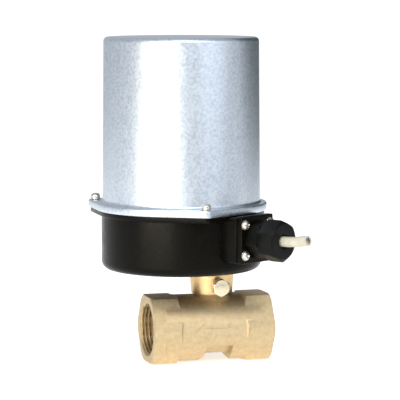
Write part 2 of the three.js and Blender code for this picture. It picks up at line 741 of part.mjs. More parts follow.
node(assembly, "lower_plate", gearPlate(lowerPlateHeight, [bushHole, idlerHole]), "steel");
series(assembly, "pillar", pillar, "steel", pillarPlaces);
const upperHoles = [bushHole, idlerHole, motorHole, ...motorScrewHoles];
node(assembly, "upper_plate", gearPlate(upperPlateHeight, upperHoles), "steel");
series(assembly, "plate_screw", plateScrew, "steel", pillarPlaces);
node(assembly, "lower_bush", flangedBush(lowerPlateHeight), "brass");
node(assembly, "upper_bush", flangedBush(upperPlateHeight), "brass");

// ---------------------------------------------------------------- gears
// One flank of a tooth as [radius, half-angle] pairs: the chord of the involute from root side to tip.
function toothFlank(teeth) {
  const pitch = (gearModule * teeth) / 2;
  const base = pitch * Math.cos(THREE.MathUtils.degToRad(pressureAngle));
  const tip = pitch + addendum * gearModule;
  const involute = (r) => Math.sqrt(Math.max((r / base) ** 2 - 1, 0)) - Math.acos(Math.min(base / r, 1));
  const halfAtPitch = Math.PI / (2 * teeth) - toothPlay / (2 * pitch);
  const start = Math.max(base, pitch - addendum * gearModule);
  return [start, tip].map((r) => [r, halfAtPitch + involute(pitch) - involute(r)]);
}

function gearWheel(teeth, phase, boreRadius, from, to) {
  const pitch = (gearModule * teeth) / 2;
  const root = pitch - (addendum + rootClearance) * gearModule;
  const flank = toothFlank(teeth);
  const foot = flank[0][1];
  const outline = [];
  for (let tooth = 0; tooth < teeth; tooth += 1) {
    const centre = THREE.MathUtils.degToRad(phase) + (2 * Math.PI * tooth) / teeth;
    const side = (r, a) => new THREE.Vector2(r * Math.cos(centre + a), r * Math.sin(centre + a));
    outline.push(side(root, -foot));
    for (const [r, a] of flank) outline.push(side(r, -a));
    for (const [r, a] of [...flank].reverse()) outline.push(side(r, a));
    outline.push(side(root, foot));
  }
  const shape = new THREE.Shape(outline);
  shape.holes.push(hole(0, 0, boreRadius));
  return prism(shape, from, to, 8);
}

// The phase that puts a tooth gap of the second gear on a tooth of the first.
function meshedPhase(direction, teeth) {
  return direction + 180 + 180 / teeth;
}

function outputShaft() {
  const half = stemSquare / 2 + gap;
  const socket = rod(stemRadius + 3, socketBottom, socketTop, round);
  const shank = rod(stemRadius, socketTop - 1, outputShaftTop, small);
  return cut(join(socket, shank), block(-half, half, -half, half, socketBottom - 1, stemTop + gap));
}

function idlerGear() {
  const pinionPhase = meshedPhase(idlerDirection, pinionTeeth);
  const bore = idlerPinRadius + gap;
  const pinion = gearWheel(pinionTeeth, pinionPhase, bore, idlerBottom, idlerWheelBottom + 1);
  const wheel = gearWheel(idlerTeeth, motorDirection, bore, idlerWheelBottom, idlerTop);
  return join(pinion, wheel);
}

const outputBore = stemRadius + gap;
const outputGear = gearWheel(outputTeeth, idlerDirection, outputBore, outputGearBottom, outputGearTop);
const motorPhase = meshedPhase(motorDirection, pinionTeeth);
const motorBore = motorShaftRadius + gap;
const motorPinion = gearWheel(pinionTeeth, motorPhase, motorBore, motorPinionBottom, motorPinionTop);
const idlerPin = rod(idlerPinRadius, lowerPlateHeight - 0.8, upperPlateTop + 0.8, small);
node(assembly, "output_shaft", outputShaft(), "steel");
node(assembly, "output_gear", outputGear, "steel");
node(assembly, "idler_gear", idlerGear(), "steel", idlerPlace);
node(assembly, "idler_pin", idlerPin, "steel", idlerPlace);
node(assembly, "motor_pinion", motorPinion, "brass", motorPlace);

// ---------------------------------------------------------------- motor
function gearbox() {
  const can = rod(gearboxRadius, deck, gearboxTop, round);
  const arms = motorEarPlaces.map((p) => {
    const ear = rod(motorEarRadius, deck, deck + 2, small);
    return ear.translate(p.x - motorPlace.x, p.y - motorPlace.y, 0);
  });
  const screwWays = motorEarPlaces.map((p) => {
    const way = rod(coverScrewRadius + gap, deck - 1, deck + 3, tiny);
    return way.translate(p.x - motorPlace.x, p.y - motorPlace.y, 0);
  });
  const shaftWay = rod(motorShaftRadius + gap, deck - 1, deck + 10, small);
  return cut(join(can, ...arms), shaftWay, ...screwWays);
}

function motor() {
  const can = rod(motorRadius, motorBottom, motorTop, round);
  const cap = rod(motorRadius - 1, motorTop - 1, motorTop + endCapHeight, round);
  const tagTop = motorTop + endCapHeight + 6;
  const tags = [-6, 6].map((y) => block(-2, 2, y - 0.4, y + 0.4, motorTop + 1, tagTop));
  return join(can, cap, ...tags);
}

const motorScrew = panScrew(deck + 2 + gap, 7, coverScrewRadius, coverScrewHead, 2);
node(assembly, "motor_gearbox", gearbox(), "zinc", motorPlace);
node(assembly, "motor", motor(), "zinc", motorPlace);
const motorShaft = rod(motorShaftRadius, motorPinionBottom - 0.6, deck + 9.5, small);
node(assembly, "motor_shaft", motorShaft, "steel", motorPlace);
series(assembly, "motor_screw", motorScrew, "steel", motorEarPlaces);

// ---------------------------------------------------------------- cams and limit switches
function cam(dwellAngle, from) {
  const half = 50;
  const points = [];
  for (let a = -half; a <= half; a += 10) points.push(polar(0, 0, camDwellRadius, dwellAngle + a));
  for (let a = half + 8; a <= 360 - half - 8; a += 12) points.push(polar(0, 0, camRadius, dwellAngle + a));
  const shape = new THREE.Shape(points);
  shape.holes.push(hole(0, 0, stemRadius + gap));
  return prism(shape, from, from + camWidth, 8);
}

const switchScrewPlaces = [-1, 1].map((side) => ({
  x: side * (switchLength / 2 - 3),
  y: switchFront - switchDepth + 3,
}));

function limitSwitch(from) {
  const half = switchLength / 2;
  const body = block(-half, half, switchFront - switchDepth, switchFront, from, from + switchHeight);
  const middle = from + switchHeight / 2;
  const wide = plungerWidth / 2 + gap;
  const tall = plungerHeight / 2 + gap;
  const pocket = block(-wide, wide, switchFront - 4.5, switchFront + 1, middle - tall, middle + tall);
  const ways = repeat(rod(1.5, from - 1, from + switchHeight + 1, tiny), switchScrewPlaces);
  return cut(body, pocket, ways);
}

function plunger(from) {
  const middle = from + switchHeight / 2;
  const wide = plungerWidth / 2;
  const tall = plungerHeight / 2;
  const tip = switchFront + plungerReach;
  return block(-wide, wide, switchFront - 2.5, tip, middle - tall, middle + tall);
}

const lowerSwitchBottom = lowerCamBottom + (camWidth - switchHeight) / 2;
const upperSwitchBottom = lowerSwitchBottom + switchHeight + gap;
const switchStandTop = lowerSwitchBottom - gap;
const switchTop = upperSwitchBottom + switchHeight;
const switchStand = block(
  -switchLength / 2, switchLength / 2, switchFront - switchDepth, switchFront, deck, switchStandTop,
);
const standWays = repeat(rod(1.5, deck - 1, switchStandTop + 1, tiny), switchScrewPlaces);
const switchScrew = panScrew(switchTop + gap, switchTop - deck - 0.5, 1.2, 2.1, 1.6);
node(assembly, "closed_cam", cam(90, lowerCamBottom), "whitePlastic");
node(assembly, "open_cam", cam(180, upperCamBottom), "whitePlastic");
node(assembly, "switch_stand", cut(switchStand, standWays), "blackPlastic");
node(assembly, "closed_switch", limitSwitch(lowerSwitchBottom), "blackPlastic");
node(assembly, "open_switch", limitSwitch(upperSwitchBottom), "blackPlastic");
node(assembly, "closed_switch_plunger", plunger(lowerSwitchBottom), "whitePlastic");
node(assembly, "open_switch_plunger", plunger(upperSwitchBottom), "whitePlastic");
series(assembly, "switch_screw", switchScrew, "steel", switchScrewPlaces);

// ---------------------------------------------------------------- electrics
const capacitorPlace = { x: -10.5, y: 27 };
const boardFrom = { x: -16.5, y: -26.5 };
const boardTo = { x: 17, y: 13 };
const legPlaces = [
  { x: -13.5, y: -24 }, { x: 14, y: -23 }, { x: 14, y: 10 }, { x: -13, y: 10 },
];
const boardScrewRadius = 1.2;
const legRadius = 2.1;
const bracketThickness = 2;
const boardTop = boardHeight + boardThickness;
const bracketTop = boardHeight - gap;

// A moulded bracket: four legs under a frame that follows the board's edge.
function boardBracket() {
  const inset = 5;
  const frameBottom = bracketTop - bracketThickness;
  const sheet = block(boardFrom.x, boardTo.x, boardFrom.y, boardTo.y, frameBottom, bracketTop);
  const window = block(
    boardFrom.x + inset, boardTo.x - inset, boardFrom.y + inset, boardTo.y - inset,
    frameBottom - 1, bracketTop + 1,
  );
  const legs = repeat(rod(legRadius, deck, bracketTop - 1, small), legPlaces);
  const pilots = repeat(rod(boardScrewRadius + gap, bracketTop - 7, bracketTop + 1, tiny), legPlaces);
  return cut(join(sheet, legs), window, pilots);
}

function controlBoard() {
  const board = block(boardFrom.x, boardTo.x, boardFrom.y, boardTo.y, boardHeight, boardTop);
  return cut(board, repeat(rod(boardScrewRadius + gap, boardHeight - 1, boardTop + 1, tiny), legPlaces));
}

const capacitor = rod(capacitorRadius, deck, deck + capacitorHeight, round);
node(assembly, "capacitor", capacitor, "film", capacitorPlace);
node(assembly, "board_bracket", boardBracket(), "whitePlastic");
node(assembly, "control_board", controlBoard(), "board");

// The terminal block stands on the housing floor, its poles in a row along X.
const terminalPlace = { x: -46, y: -25 };
const terminalLength = terminalPoles * terminalPitch;
const terminalBottom = floorTop + gap;
const terminalTop = terminalBottom + 13;

function poleX(index) {
  return terminalPlace.x + (index + 0.5) * terminalPitch;
}

const poles = [...Array(terminalPoles).keys()];
const leadLevel = terminalBottom + 5;

function terminalBlock() {
  const x0 = terminalPlace.x;
  const y = terminalPlace.y;
  const body = block(x0, x0 + terminalLength, y - 6.5, y + 6.5, terminalBottom, terminalTop);
  const wells = poles.map((i) => {
    return rod(2.2, terminalTop - 3.5, terminalTop + 1, tiny).translate(poleX(i), y, 0);
  });
  const mouths = poles.map((i) => {
    const x = poleX(i);
    return block(x - 1.6, x + 1.6, y + 1, y + 8, leadLevel - 1.6, leadLevel + 1.6);
  });
  return cut(body, ...wells, ...mouths);
}

node(assembly, "terminal_block", terminalBlock(), "whitePlastic");

export default assembly;
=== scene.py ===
# %% [markdown]
# # A motorised zone valve
# A brass ball valve sits in a heating pipe, and a small geared motor above it turns the ball a
# quarter turn. The motor lives in a black die-cast base under a tall zinc-plated can. The packed
# model gives every size and place, so this file only makes the fine surfaces and the finishes.
# Lengths are written in millimetres and turned to metres once, when a mesh is made.

import json
import math

import bmesh
import bpy
from mathutils import Matrix, Vector


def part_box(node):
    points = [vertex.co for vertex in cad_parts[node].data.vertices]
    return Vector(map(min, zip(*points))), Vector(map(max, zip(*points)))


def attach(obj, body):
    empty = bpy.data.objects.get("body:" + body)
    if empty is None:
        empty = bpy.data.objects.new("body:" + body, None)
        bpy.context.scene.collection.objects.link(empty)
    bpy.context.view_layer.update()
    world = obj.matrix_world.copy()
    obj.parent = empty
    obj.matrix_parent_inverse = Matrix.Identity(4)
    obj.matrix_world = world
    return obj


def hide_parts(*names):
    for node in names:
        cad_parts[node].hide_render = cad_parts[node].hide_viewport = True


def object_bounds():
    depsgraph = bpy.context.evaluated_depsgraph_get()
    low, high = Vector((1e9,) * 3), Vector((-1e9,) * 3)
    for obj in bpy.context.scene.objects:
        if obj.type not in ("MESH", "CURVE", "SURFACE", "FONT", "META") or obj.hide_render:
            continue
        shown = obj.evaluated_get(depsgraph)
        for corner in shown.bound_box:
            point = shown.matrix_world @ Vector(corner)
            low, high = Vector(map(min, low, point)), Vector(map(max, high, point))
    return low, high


MM = 0.001
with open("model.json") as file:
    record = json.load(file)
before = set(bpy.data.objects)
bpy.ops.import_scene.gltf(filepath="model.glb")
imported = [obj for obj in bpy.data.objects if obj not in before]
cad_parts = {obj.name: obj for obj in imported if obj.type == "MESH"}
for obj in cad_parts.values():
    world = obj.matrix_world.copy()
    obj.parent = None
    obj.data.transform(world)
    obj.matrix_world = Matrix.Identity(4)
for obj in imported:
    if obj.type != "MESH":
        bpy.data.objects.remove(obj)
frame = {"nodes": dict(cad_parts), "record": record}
cad_low, cad_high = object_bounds()


def low(node):
    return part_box(node)[0] / MM


def high(node):
    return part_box(node)[1] / MM


def middle(node):
    return (low(node) + high(node)) / 2


# %% [markdown]
# The housing is round about its own upright axis, which stands beside the stem. The gasket is
# symmetric across that axis, so the middle of its box gives the place. The gland points out of the
# base at an angle, and the direction from its plate to its nut gives that angle.

# %% Axes
housing_x = middle("cover_gasket").x
gland_z = middle("gland_nut").z
gland_out = middle("gland_nut") - middle("gland_plate")
gland_turn = math.atan2(gland_out.y, gland_out.x)
bolt_out = middle("clamp_bolt")
bolt_turn = math.atan2(bolt_out.y, bolt_out.x)
HOUSING = Matrix.Translation((housing_x, 0, 0))
PIPE = Matrix.Rotation(math.pi / 2, 4, "Y")
GLAND = Matrix.Translation((housing_x, 0, gland_z)) @ Matrix.Rotation(gland_turn, 4, "Z") @ PIPE
BOLT = Matrix.Translation((0, 0, bolt_out.z)) @ Matrix.Rotation(bolt_turn, 4, "Z") @ PIPE
print(f"housing axis at x {housing_x:.1f}, gland turned {math.degrees(gland_turn):.0f} degrees")

# %% [markdown]
# ## The camera
# A long lens from a little to the left and a little above keeps the can's sides nearly parallel.

# %% Camera
view_turn = math.radians(-16)
view_rise = math.radians(5.8)
view_distance = 1.281
view_target = Vector((-7.4, 0, 78)) * MM
lens_mm = 189
view_back = Vector((
    math.sin(view_turn) * math.cos(view_rise),
    -math.cos(view_turn) * math.cos(view_rise),
    math.sin(view_rise),
))
camera = bpy.data.objects.new("camera", bpy.data.cameras.new("camera"))
camera.data.lens = lens_mm
camera.data.clip_end = 20
camera.location = view_target + view_back * view_distance
camera.rotation_euler = view_back.to_track_quat("Z", "Y").to_euler()
bpy.context.scene.collection.objects.link(camera)
bpy.context.scene.camera = camera
print("camera at", tuple(round(v, 3) for v in camera.location))

# %% [markdown]
# ## Ways to make a mesh
# Most of this object was turned, drawn or cast round an axis, so most pieces are an outline spun
# about that axis. The outline is a list of (radius, height) corners, and a third number rounds a
# corner, because no real edge is perfectly sharp and a rounded one catches the light.


# %% Outlines
def rounded(corners, steps=5):
    """A closed outline with an arc at each corner that carries a third number, its radius."""
    points = []
    count = len(corners)
    for i, corner in enumerate(corners):
        here = Vector(corner[:2])
        radius = corner[2] if len(corner) > 2 else 0
        to_last = (Vector(corners[i - 1][:2]) - here)
        to_next = (Vector(corners[(i + 1) % count][:2]) - here)
        if radius == 0 or to_last.length == 0 or to_next.length == 0:
            points.append(here)
            continue
        half = to_last.angle(to_next) / 2
        reach = min(radius / math.tan(half), 0.49 * to_last.length, 0.49 * to_next.length)
        radius = reach * math.tan(half)
        start = here + to_last.normalized() * reach
        end = here + to_next.normalized() * reach
        inward = (to_last.normalized() + to_next.normalized()).normalized()
        hub = here + inward * (radius / math.sin(half))
        for k in range(steps + 1):
            t = k / steps
            spoke = (start - hub).lerp(end - hub, t).normalized() * radius
            points.append(hub + spoke)
    return points


def polar(radius, degrees, centre=(0, 0)):
    a = math.radians(degrees)
    return (centre[0] + radius * math.cos(a), centre[1] + radius * math.sin(a))


def regular(sides, across_flats, corner_degrees=0, rounding=0.4):
    reach = across_flats / 2 / math.cos(math.pi / sides)
    corners = [polar(reach, corner_degrees + 360 / sides * i) + (rounding,) for i in range(sides)]
    return rounded(corners, 4)


# %% [markdown]
# `spin` turns an outline about Z, and `rod` is the plain cylinder among such shapes. `slab` pushes
# an outline up from z0 to z1 and softens its edges. `join`, `carve` and `keep_common` are the three
# boolean steps. Every maker gives a plain object in millimetres, and `place` scales it to metres and
# moves it where the frame says.

# %% Makers
def as_object(name, shape):
    bmesh.ops.recalc_face_normals(shape, faces=shape.faces)
    mesh = bpy.data.meshes.new(name)
    shape.to_mesh(mesh)
    shape.free()
    thing = bpy.data.objects.new(name, mesh)
    bpy.context.scene.collection.objects.link(thing)
    return thing


def spin(name, corners, segments=96, steps=5):
    outline = rounded(corners, steps)
    shape = bmesh.new()
    rings = []
    for point in outline:
        if abs(point.x) < 1e-6:
            rings.append([shape.verts.new((0, 0, point.y))] * segments)
            continue
        turns = [2 * math.pi * k / segments for k in range(segments)]
        rings.append([
            shape.verts.new((point.x * math.cos(a), point.x * math.sin(a), point.y)) for a in turns
        ])
    for i, ring in enumerate(rings):
        after = rings[(i + 1) % len(rings)]
        for k in range(segments):
            n = (k + 1) % segments
            loop = list(dict.fromkeys([ring[k], ring[n], after[n], after[k]]))
            if len(loop) > 2:
                shape.faces.new(loop)
    bmesh.ops.remove_doubles(shape, verts=shape.verts, dist=1e-5)
    return as_object(name, shape)


def rod(name, radius, z0, z1, segments=96):
    """A plain cylinder, mostly used as a drill."""
    return spin(name, [(0, z0), (radius, z0), (radius, z1), (0, z1)], segments)


def circle(radius, centre=(0, 0), segments=40):
    return [polar(radius, 360 / segments * k, centre) for k in range(segments)]


def slab(name, outline, z0, z1, holes=(), edge=0.3, edge_steps=2):
    shape = bmesh.new()
    for loop in (outline, *holes):
        ring = [shape.verts.new((p[0], p[1], z0)) for p in loop]
        for k, vert in enumerate(ring):
            shape.edges.new((vert, ring[(k + 1) % len(ring)]))
    bmesh.ops.triangle_fill(shape, edges=shape.edges, use_beauty=True, use_dissolve=True)
    pushed = bmesh.ops.extrude_face_region(shape, geom=shape.faces[:])
    top = [v for v in pushed["geom"] if isinstance(v, bmesh.types.BMVert)]
    bmesh.ops.translate(shape, verts=top, vec=(0, 0, z1 - z0))
    thing = as_object(name, shape)
    if edge:
        soften(thing, edge, edge_steps)
    return thing


def soften(thing, width, steps=2, angle=35):
    bevel = thing.modifiers.new("soft edges", "BEVEL")
    bevel.width = width
    bevel.segments = steps
    bevel.angle_limit = math.radians(angle)
    return settle(thing)


def settle(thing):
    """Applies every modifier."""
    graph = bpy.context.evaluated_depsgraph_get()
    graph.update()
    mesh = bpy.data.meshes.new_from_object(thing.evaluated_get(graph))
    thing.modifiers.clear()
    thing.data = mesh
    return thing


def boolean(thing, tools, operation):
    for tool in tools:
        step = thing.modifiers.new(operation, "BOOLEAN")
        step.operation = operation
        step.solver = "EXACT"
        step.object = tool
        settle(thing)
        bpy.data.objects.remove(tool)
    return thing


def join(thing, *tools):
    return boolean(thing, tools, "UNION")


def carve(thing, *tools):
    return boolean(thing, tools, "DIFFERENCE")


def keep_common(thing, *tools):
    return boolean(thing, tools, "INTERSECT")


def moved(thing, matrix):
    thing.data.transform(matrix)
    return thing


def place(thing, matrix, body, material, slot, *nodes, sharp=32):
    """Puts a piece in the frame: metres, its body, its finish and the CAD nodes it stands for."""
    thing.data.transform(Matrix.Scale(MM, 4) @ matrix)
    for face in thing.data.polygons:
        face.use_smooth = True
    thing.data.set_sharp_from_angle(angle=math.radians(sharp))
    thing.data.materials.clear()
    thing.data.materials.append(material)
    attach(thing, body)
    if nodes:
        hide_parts(*nodes)
    return thing


# %% [markdown]
# ## Finishes
# Each finish is named for the real material and for how its surface was made. Colours are the hex
# values a colour picker shows, so one function turns them to the linear light that Blender mixes.

# %% Finish helpers
def linear(hex_colour):
    """sRGB hex to linear RGBA."""
    parts = [int(hex_colour[i:i + 2], 16) / 255 for i in (1, 3, 5)]
    return tuple(p / 12.92 if p <= 0.04045 else ((p + 0.055) / 1.055) ** 2.4 for p in parts) + (1.0,)


def add(tree, kind, inputs=None, **settings):
    """One node with its settings; an input is a number, a colour or another node's socket."""
    made = tree.nodes.new("ShaderNode" + kind)
    for name, value in settings.items():
        setattr(made, name, value)
    for name, value in (inputs or {}).items():
        if isinstance(value, bpy.types.NodeSocket):
            tree.links.new(value, made.inputs[name])
        else:
            made.inputs[name].default_value = value
    return made


def per_mm(size):
    """The texture scale that gives features of this size in millimetres."""
    return 1000 / size


def finish(name, colour, metallic=0.0, roughness=0.5, **sockets):
    """A material with its principled shader, ready for detail."""
    made = bpy.data.materials.new(name)
    made.use_nodes = True
    shader = made.node_tree.nodes["Principled BSDF"]
    shader.inputs["Base Color"].default_value = linear(colour)
    shader.inputs["Metallic"].default_value = metallic
    shader.inputs["Roughness"].default_value = roughness
    for socket, value in sockets.items():
        shader.inputs[socket.replace("_", " ").title().replace("Ior", "IOR")].default_value = value
    made.diffuse_color = linear(colour)
    return made


def grain(material, size, depth, detail=3.0):
    """Raised grain of one size, as a bump of a given depth in millimetres."""
    tree = material.node_tree
    shader = tree.nodes["Principled BSDF"]
    place_of = add(tree, "TexCoord")
    field = add(tree, "TexNoise", {
        "Vector": place_of.outputs["Object"], "Scale": per_mm(size), "Detail": detail,
    })
    last = shader.inputs["Normal"].links[0].from_socket if shader.inputs["Normal"].links else None
    inputs = {"Height": field.outputs["Fac"], "Distance": depth * MM, "Strength": 1.0}
    if last:
        inputs["Normal"] = last
    bump = add(tree, "Bump", inputs)
    tree.links.new(bump.outputs["Normal"], shader.inputs["Normal"])
    return material


def patches(tree, size, detail, stretch):
    """A noise with patches of one size, which may be drawn out along an axis."""
    place_of = add(tree, "TexCoord")
    squeeze = add(tree, "Mapping", {"Vector": place_of.outputs["Object"], "Scale": stretch})
    return add(tree, "TexNoise", {
        "Vector": squeeze.outputs["Vector"], "Scale": per_mm(size), "Detail": detail,
    })


def mottle(material, size, colour_a, colour_b, detail=2.0, spread=(0.35, 0.65), stretch=(1, 1, 1)):
    """The base colour wanders between two colours over patches of one size."""
    tree = material.node_tree
    shader = tree.nodes["Principled BSDF"]
    field = patches(tree, size, detail, stretch)
    ramp = add(tree, "ValToRGB", {"Fac": field.outputs["Fac"]})
    ramp.color_ramp.elements[0].position = spread[0]
    ramp.color_ramp.elements[1].position = spread[1]
    ramp.color_ramp.elements[0].color = linear(colour_a)
    ramp.color_ramp.elements[1].color = linear(colour_b)
    tree.links.new(ramp.outputs["Color"], shader.inputs["Base Color"])
    return material


def uneven_gloss(material, size, smooth, rough, detail=2.0, stretch=(1, 1, 1)):
    """The roughness wanders between two values over patches of one size."""
    tree = material.node_tree
    field = patches(tree, size, detail, stretch)
    spread = add(tree, "MapRange", {
        "Value": field.outputs["Fac"], "From Min": 0.3, "From Max": 0.7, "To Min": smooth, "To Max": rough,
    })
    tree.links.new(spread.outputs["Result"], tree.nodes["Principled BSDF"].inputs["Roughness"])
    return material

# %% [markdown]
# **Zinc-plated steel.** The can is drawn from sheet and then electro-plated. The zinc grows in tiny
# crystals, so the surface is bright but broken up: blue-grey specks one or two millimetres wide
# under a satin gloss. Screws are plated after machining, which leaves them brighter and warmer.
# ** Brass.** The body is blasted matt, so it glows softly with no sharp reflection. Its ports are
# bored and tapped afterwards: the cut brass mirrors more, and its colour is made darker as
# painted shade for the inside of the ports. The neck is turned and lightly blasted, so it lies
# between the two. The bolt's nickel plating gives a cream glint.
# **Blacks.** The stoved paint has a faint orange-peel and the nylon a fine moulded grain. Both have
# less specular than a usual paint or plastic, since the real ones stay nearly black beside a bright
# can. **Nitrile** is matt with no glint, and the **PVC** of the cable is smooth and slightly waxy.

# %% Materials of the outside
zinc_plate = finish("zinc_plated_drawn_steel", "#D1DAE5", metallic=1.0, roughness=0.36)
mottle(zinc_plate, 1.6, "#C6D1DF", "#DFE6EE", detail=4.0, spread=(0.34, 0.62))
uneven_gloss(zinc_plate, 1.6, 0.32, 0.42, detail=4.0)
grain(zinc_plate, 1.1, 0.007, detail=4.0)

cream_bolt = finish("nickel_plated_bolt", "#EBDCBE", metallic=1.0, roughness=0.25)
uneven_gloss(cream_bolt, 0.8, 0.2, 0.32)
grain(cream_bolt, 0.5, 0.005)

zinc_screw = finish("zinc_plated_machined_steel", "#D9D4CA", metallic=1.0, roughness=0.27)
uneven_gloss(zinc_screw, 0.8, 0.2, 0.36)
grain(zinc_screw, 0.5, 0.006)

blasted_brass = finish("shot_blasted_cast_brass", "#D3BF99", metallic=1.0, roughness=0.55)
mottle(blasted_brass, 2.6, "#C6B18A", "#D2BF9D", detail=6.0, spread=(0.3, 0.7))
uneven_gloss(blasted_brass, 2.0, 0.52, 0.6, detail=4.0)
grain(blasted_brass, 0.55, 0.03, detail=4.0)

# The bored ports mirror more; their darker colour is painted shade for the inside of the ports.
port_brass_painted_dark = finish("tapped_port_brass_with_painted_shade", "#8A7049", metallic=1.0, roughness=0.2)
uneven_gloss(port_brass_painted_dark, 0.7, 0.14, 0.26)
grain(port_brass_painted_dark, 0.4, 0.004)

turned_brass = finish("turned_brass", "#DDB871", metallic=1.0, roughness=0.26)
uneven_gloss(turned_brass, 0.7, 0.18, 0.34)
grain(turned_brass, 0.4, 0.006)

turned_neck = finish("turned_and_blasted_brass", "#DDBE8C", metallic=1.0, roughness=0.34)
mottle(turned_neck, 3.0, "#D6B681", "#E2C597", stretch=(1, 1, 4))
uneven_gloss(turned_neck, 0.9, 0.30, 0.42, stretch=(1, 1, 6))
grain(turned_neck, 0.5, 0.012)

black_paint = finish("stoved_black_paint_on_die_casting", "#090805", roughness=0.27, specular_ior_level=0.09)
uneven_gloss(black_paint, 6.0, 0.22, 0.32)
grain(black_paint, 1.4, 0.010)

moulded_nylon = finish("moulded_black_nylon", "#0A0B09", roughness=0.36, specular_ior_level=0.13)
uneven_gloss(moulded_nylon, 3.0, 0.34, 0.48)
grain(moulded_nylon, 0.6, 0.012)

nitrile = finish("moulded_nitrile_rubber", "#191817", roughness=0.75, ior=1.52)
mottle(nitrile, 3.0, "#141312", "#22211F")
grain(nitrile, 0.5, 0.02)

pale_pvc = finish("extruded_pale_grey_pvc", "#BFBAA9", roughness=0.42, ior=1.53)
mottle(pale_pvc, 4.0, "#BAB5A4", "#C6C2B3")
grain(pale_pvc, 0.7, 0.012)

# %% [markdown]
# The pieces inside are plainer, but each has its own finish. **Nylon** moulded in its natural colour
# looks like cream wax, and machined **PTFE** whiter and softer. **Hard chrome** makes the ball a
# mirror. **Rolled steel** has fine streaks along the sheet and **gear steel** is greyer. **Solder
# mask** shows the board's tracks as a faint darker green, and a **film wrap** gives the capacitor a
# tight gloss. The wires' **PVC** and **bare copper** show at the cut end of the cable.

# %% Materials of the inside
pale_nylon = finish("moulded_natural_nylon", "#E6E0CF", roughness=0.45, ior=1.53)
mottle(pale_nylon, 4.0, "#DFD8C4", "#ECE7DA")
grain(pale_nylon, 0.6, 0.012)

ptfe = finish("machined_ptfe", "#EFEDE6", roughness=0.5, ior=1.38)
mottle(ptfe, 3.0, "#E9E6DC", "#F4F2EC")
grain(ptfe, 0.4, 0.01)

hard_chrome = finish("polished_hard_chrome", "#D5D8DB", metallic=1.0, roughness=0.09)
uneven_gloss(hard_chrome, 2.0, 0.06, 0.14)

rolled_steel = finish("zinc_plated_rolled_steel", "#C3C8CC", metallic=1.0, roughness=0.34)
mottle(rolled_steel, 2.0, "#B7BEC4", "#D2D6DA", stretch=(1, 0.08, 1))
uneven_gloss(rolled_steel, 1.0, 0.28, 0.42, stretch=(1, 0.08, 1))
grain(rolled_steel, 0.5, 0.006)

hobbed_steel = finish("hobbed_gear_steel", "#A9A8A4", metallic=1.0, roughness=0.3)
mottle(hobbed_steel, 3.0, "#9A9893", "#B9B7B1")
grain(hobbed_steel, 0.4, 0.008)

solder_mask = finish("solder_mask_on_glass_laminate", "#1C6B43", roughness=0.28, ior=1.5)
mottle(solder_mask, 1.6, "#17603B", "#237A4E", spread=(0.47, 0.53))
grain(solder_mask, 1.2, 0.01)

wrapped_film = finish("wrapped_polyester_film", "#3A6AA8", roughness=0.25, ior=1.6)
mottle(wrapped_film, 6.0, "#3460A0", "#4475B2", stretch=(1, 1, 6))
grain(wrapped_film, 2.0, 0.01)

bare_copper = finish("drawn_bare_copper", "#C9845A", metallic=1.0, roughness=0.3)
grain(bare_copper, 0.3, 0.006)


def insulation(name, colour_a, colour_b):
    made = finish(name, colour_a, roughness=0.4, ior=1.53)
    return mottle(made, 2.0, colour_a, colour_b)


brown_pvc = insulation("extruded_brown_pvc", "#5B3421", "#6C4230")
blue_pvc = insulation("extruded_blue_pvc", "#2B62B4", "#3B72C2")
yellow_pvc = insulation("extruded_yellow_pvc", "#D9C02F", "#E6CF45")
print(len(bpy.data.materials), "materials")

# %% [markdown]
# ## The cable
# A short stub of pale PVC flex leaves the gland and is cut square, so its three cores show at the
# cut end. It is a round tube along one smooth line through five given points.

# %% Cable
cable_diameter = 6.0
cable_route = [(46.5, 0), (60, 0), (81, 0), (90, 0.5), (100.2, 2)]
gland_mouth = 82


def on_gland(out, rise, side=0.0):
    """A point given outwards along the gland, up and across."""
    return GLAND @ Vector((-rise, side, out))


def through(points, steps=8):
    """A smooth line through given points, as a Catmull-Rom curve."""
    ends = [points[0] * 2 - points[1], *points, points[-1] * 2 - points[-2]]
    line = []
    for i in range(1, len(ends) - 2):
        a, b, c, d = ends[i - 1:i + 3]
        for k in range(steps):
            t = k / steps
            line.append((
                b * 2 + (c - a) * t + (a * 2 - b * 5 + c * 4 - d) * t ** 2
                + (b * 3 - a - c * 3 + d) * t ** 3
            ) / 2)
    return line + [ends[-2]]


def tube(name, line, radius, sides=24, inner=0.0):
    """A round tube along a line, closed at both ends, hollow where inner is set."""
    shape = bmesh.new()
    skins = []
    for size in ([radius, inner] if inner else [radius]):
        rings = []
        side = Vector((0, 0, 1))
        for i, point in enumerate(line):
            ahead = (line[min(i + 1, len(line) - 1)] - line[max(i - 1, 0)]).normalized()
            side = (side - ahead * side.dot(ahead)).normalized()
            other = ahead.cross(side)
            turns = [2 * math.pi * k / sides for k in range(sides)]
            rings.append([
                shape.verts.new(point + (side * math.cos(a) + other * math.sin(a)) * size) for a in turns
            ])
        for ring, after in zip(rings, rings[1:]):
            for k in range(sides):
                shape.faces.new((ring[k], ring[(k + 1) % sides], after[(k + 1) % sides], after[k]))
        skins.append(rings)
    if inner:
        for end in (0, -1):
            for k in range(sides):
                n = (k + 1) % sides
                shape.faces.new((skins[0][end][k], skins[0][end][n], skins[1][end][n], skins[1][end][k]))
    else:
        shape.faces.new(skins[0][0][::-1])
        shape.faces.new(skins[0][-1])
    return as_object(name, shape)


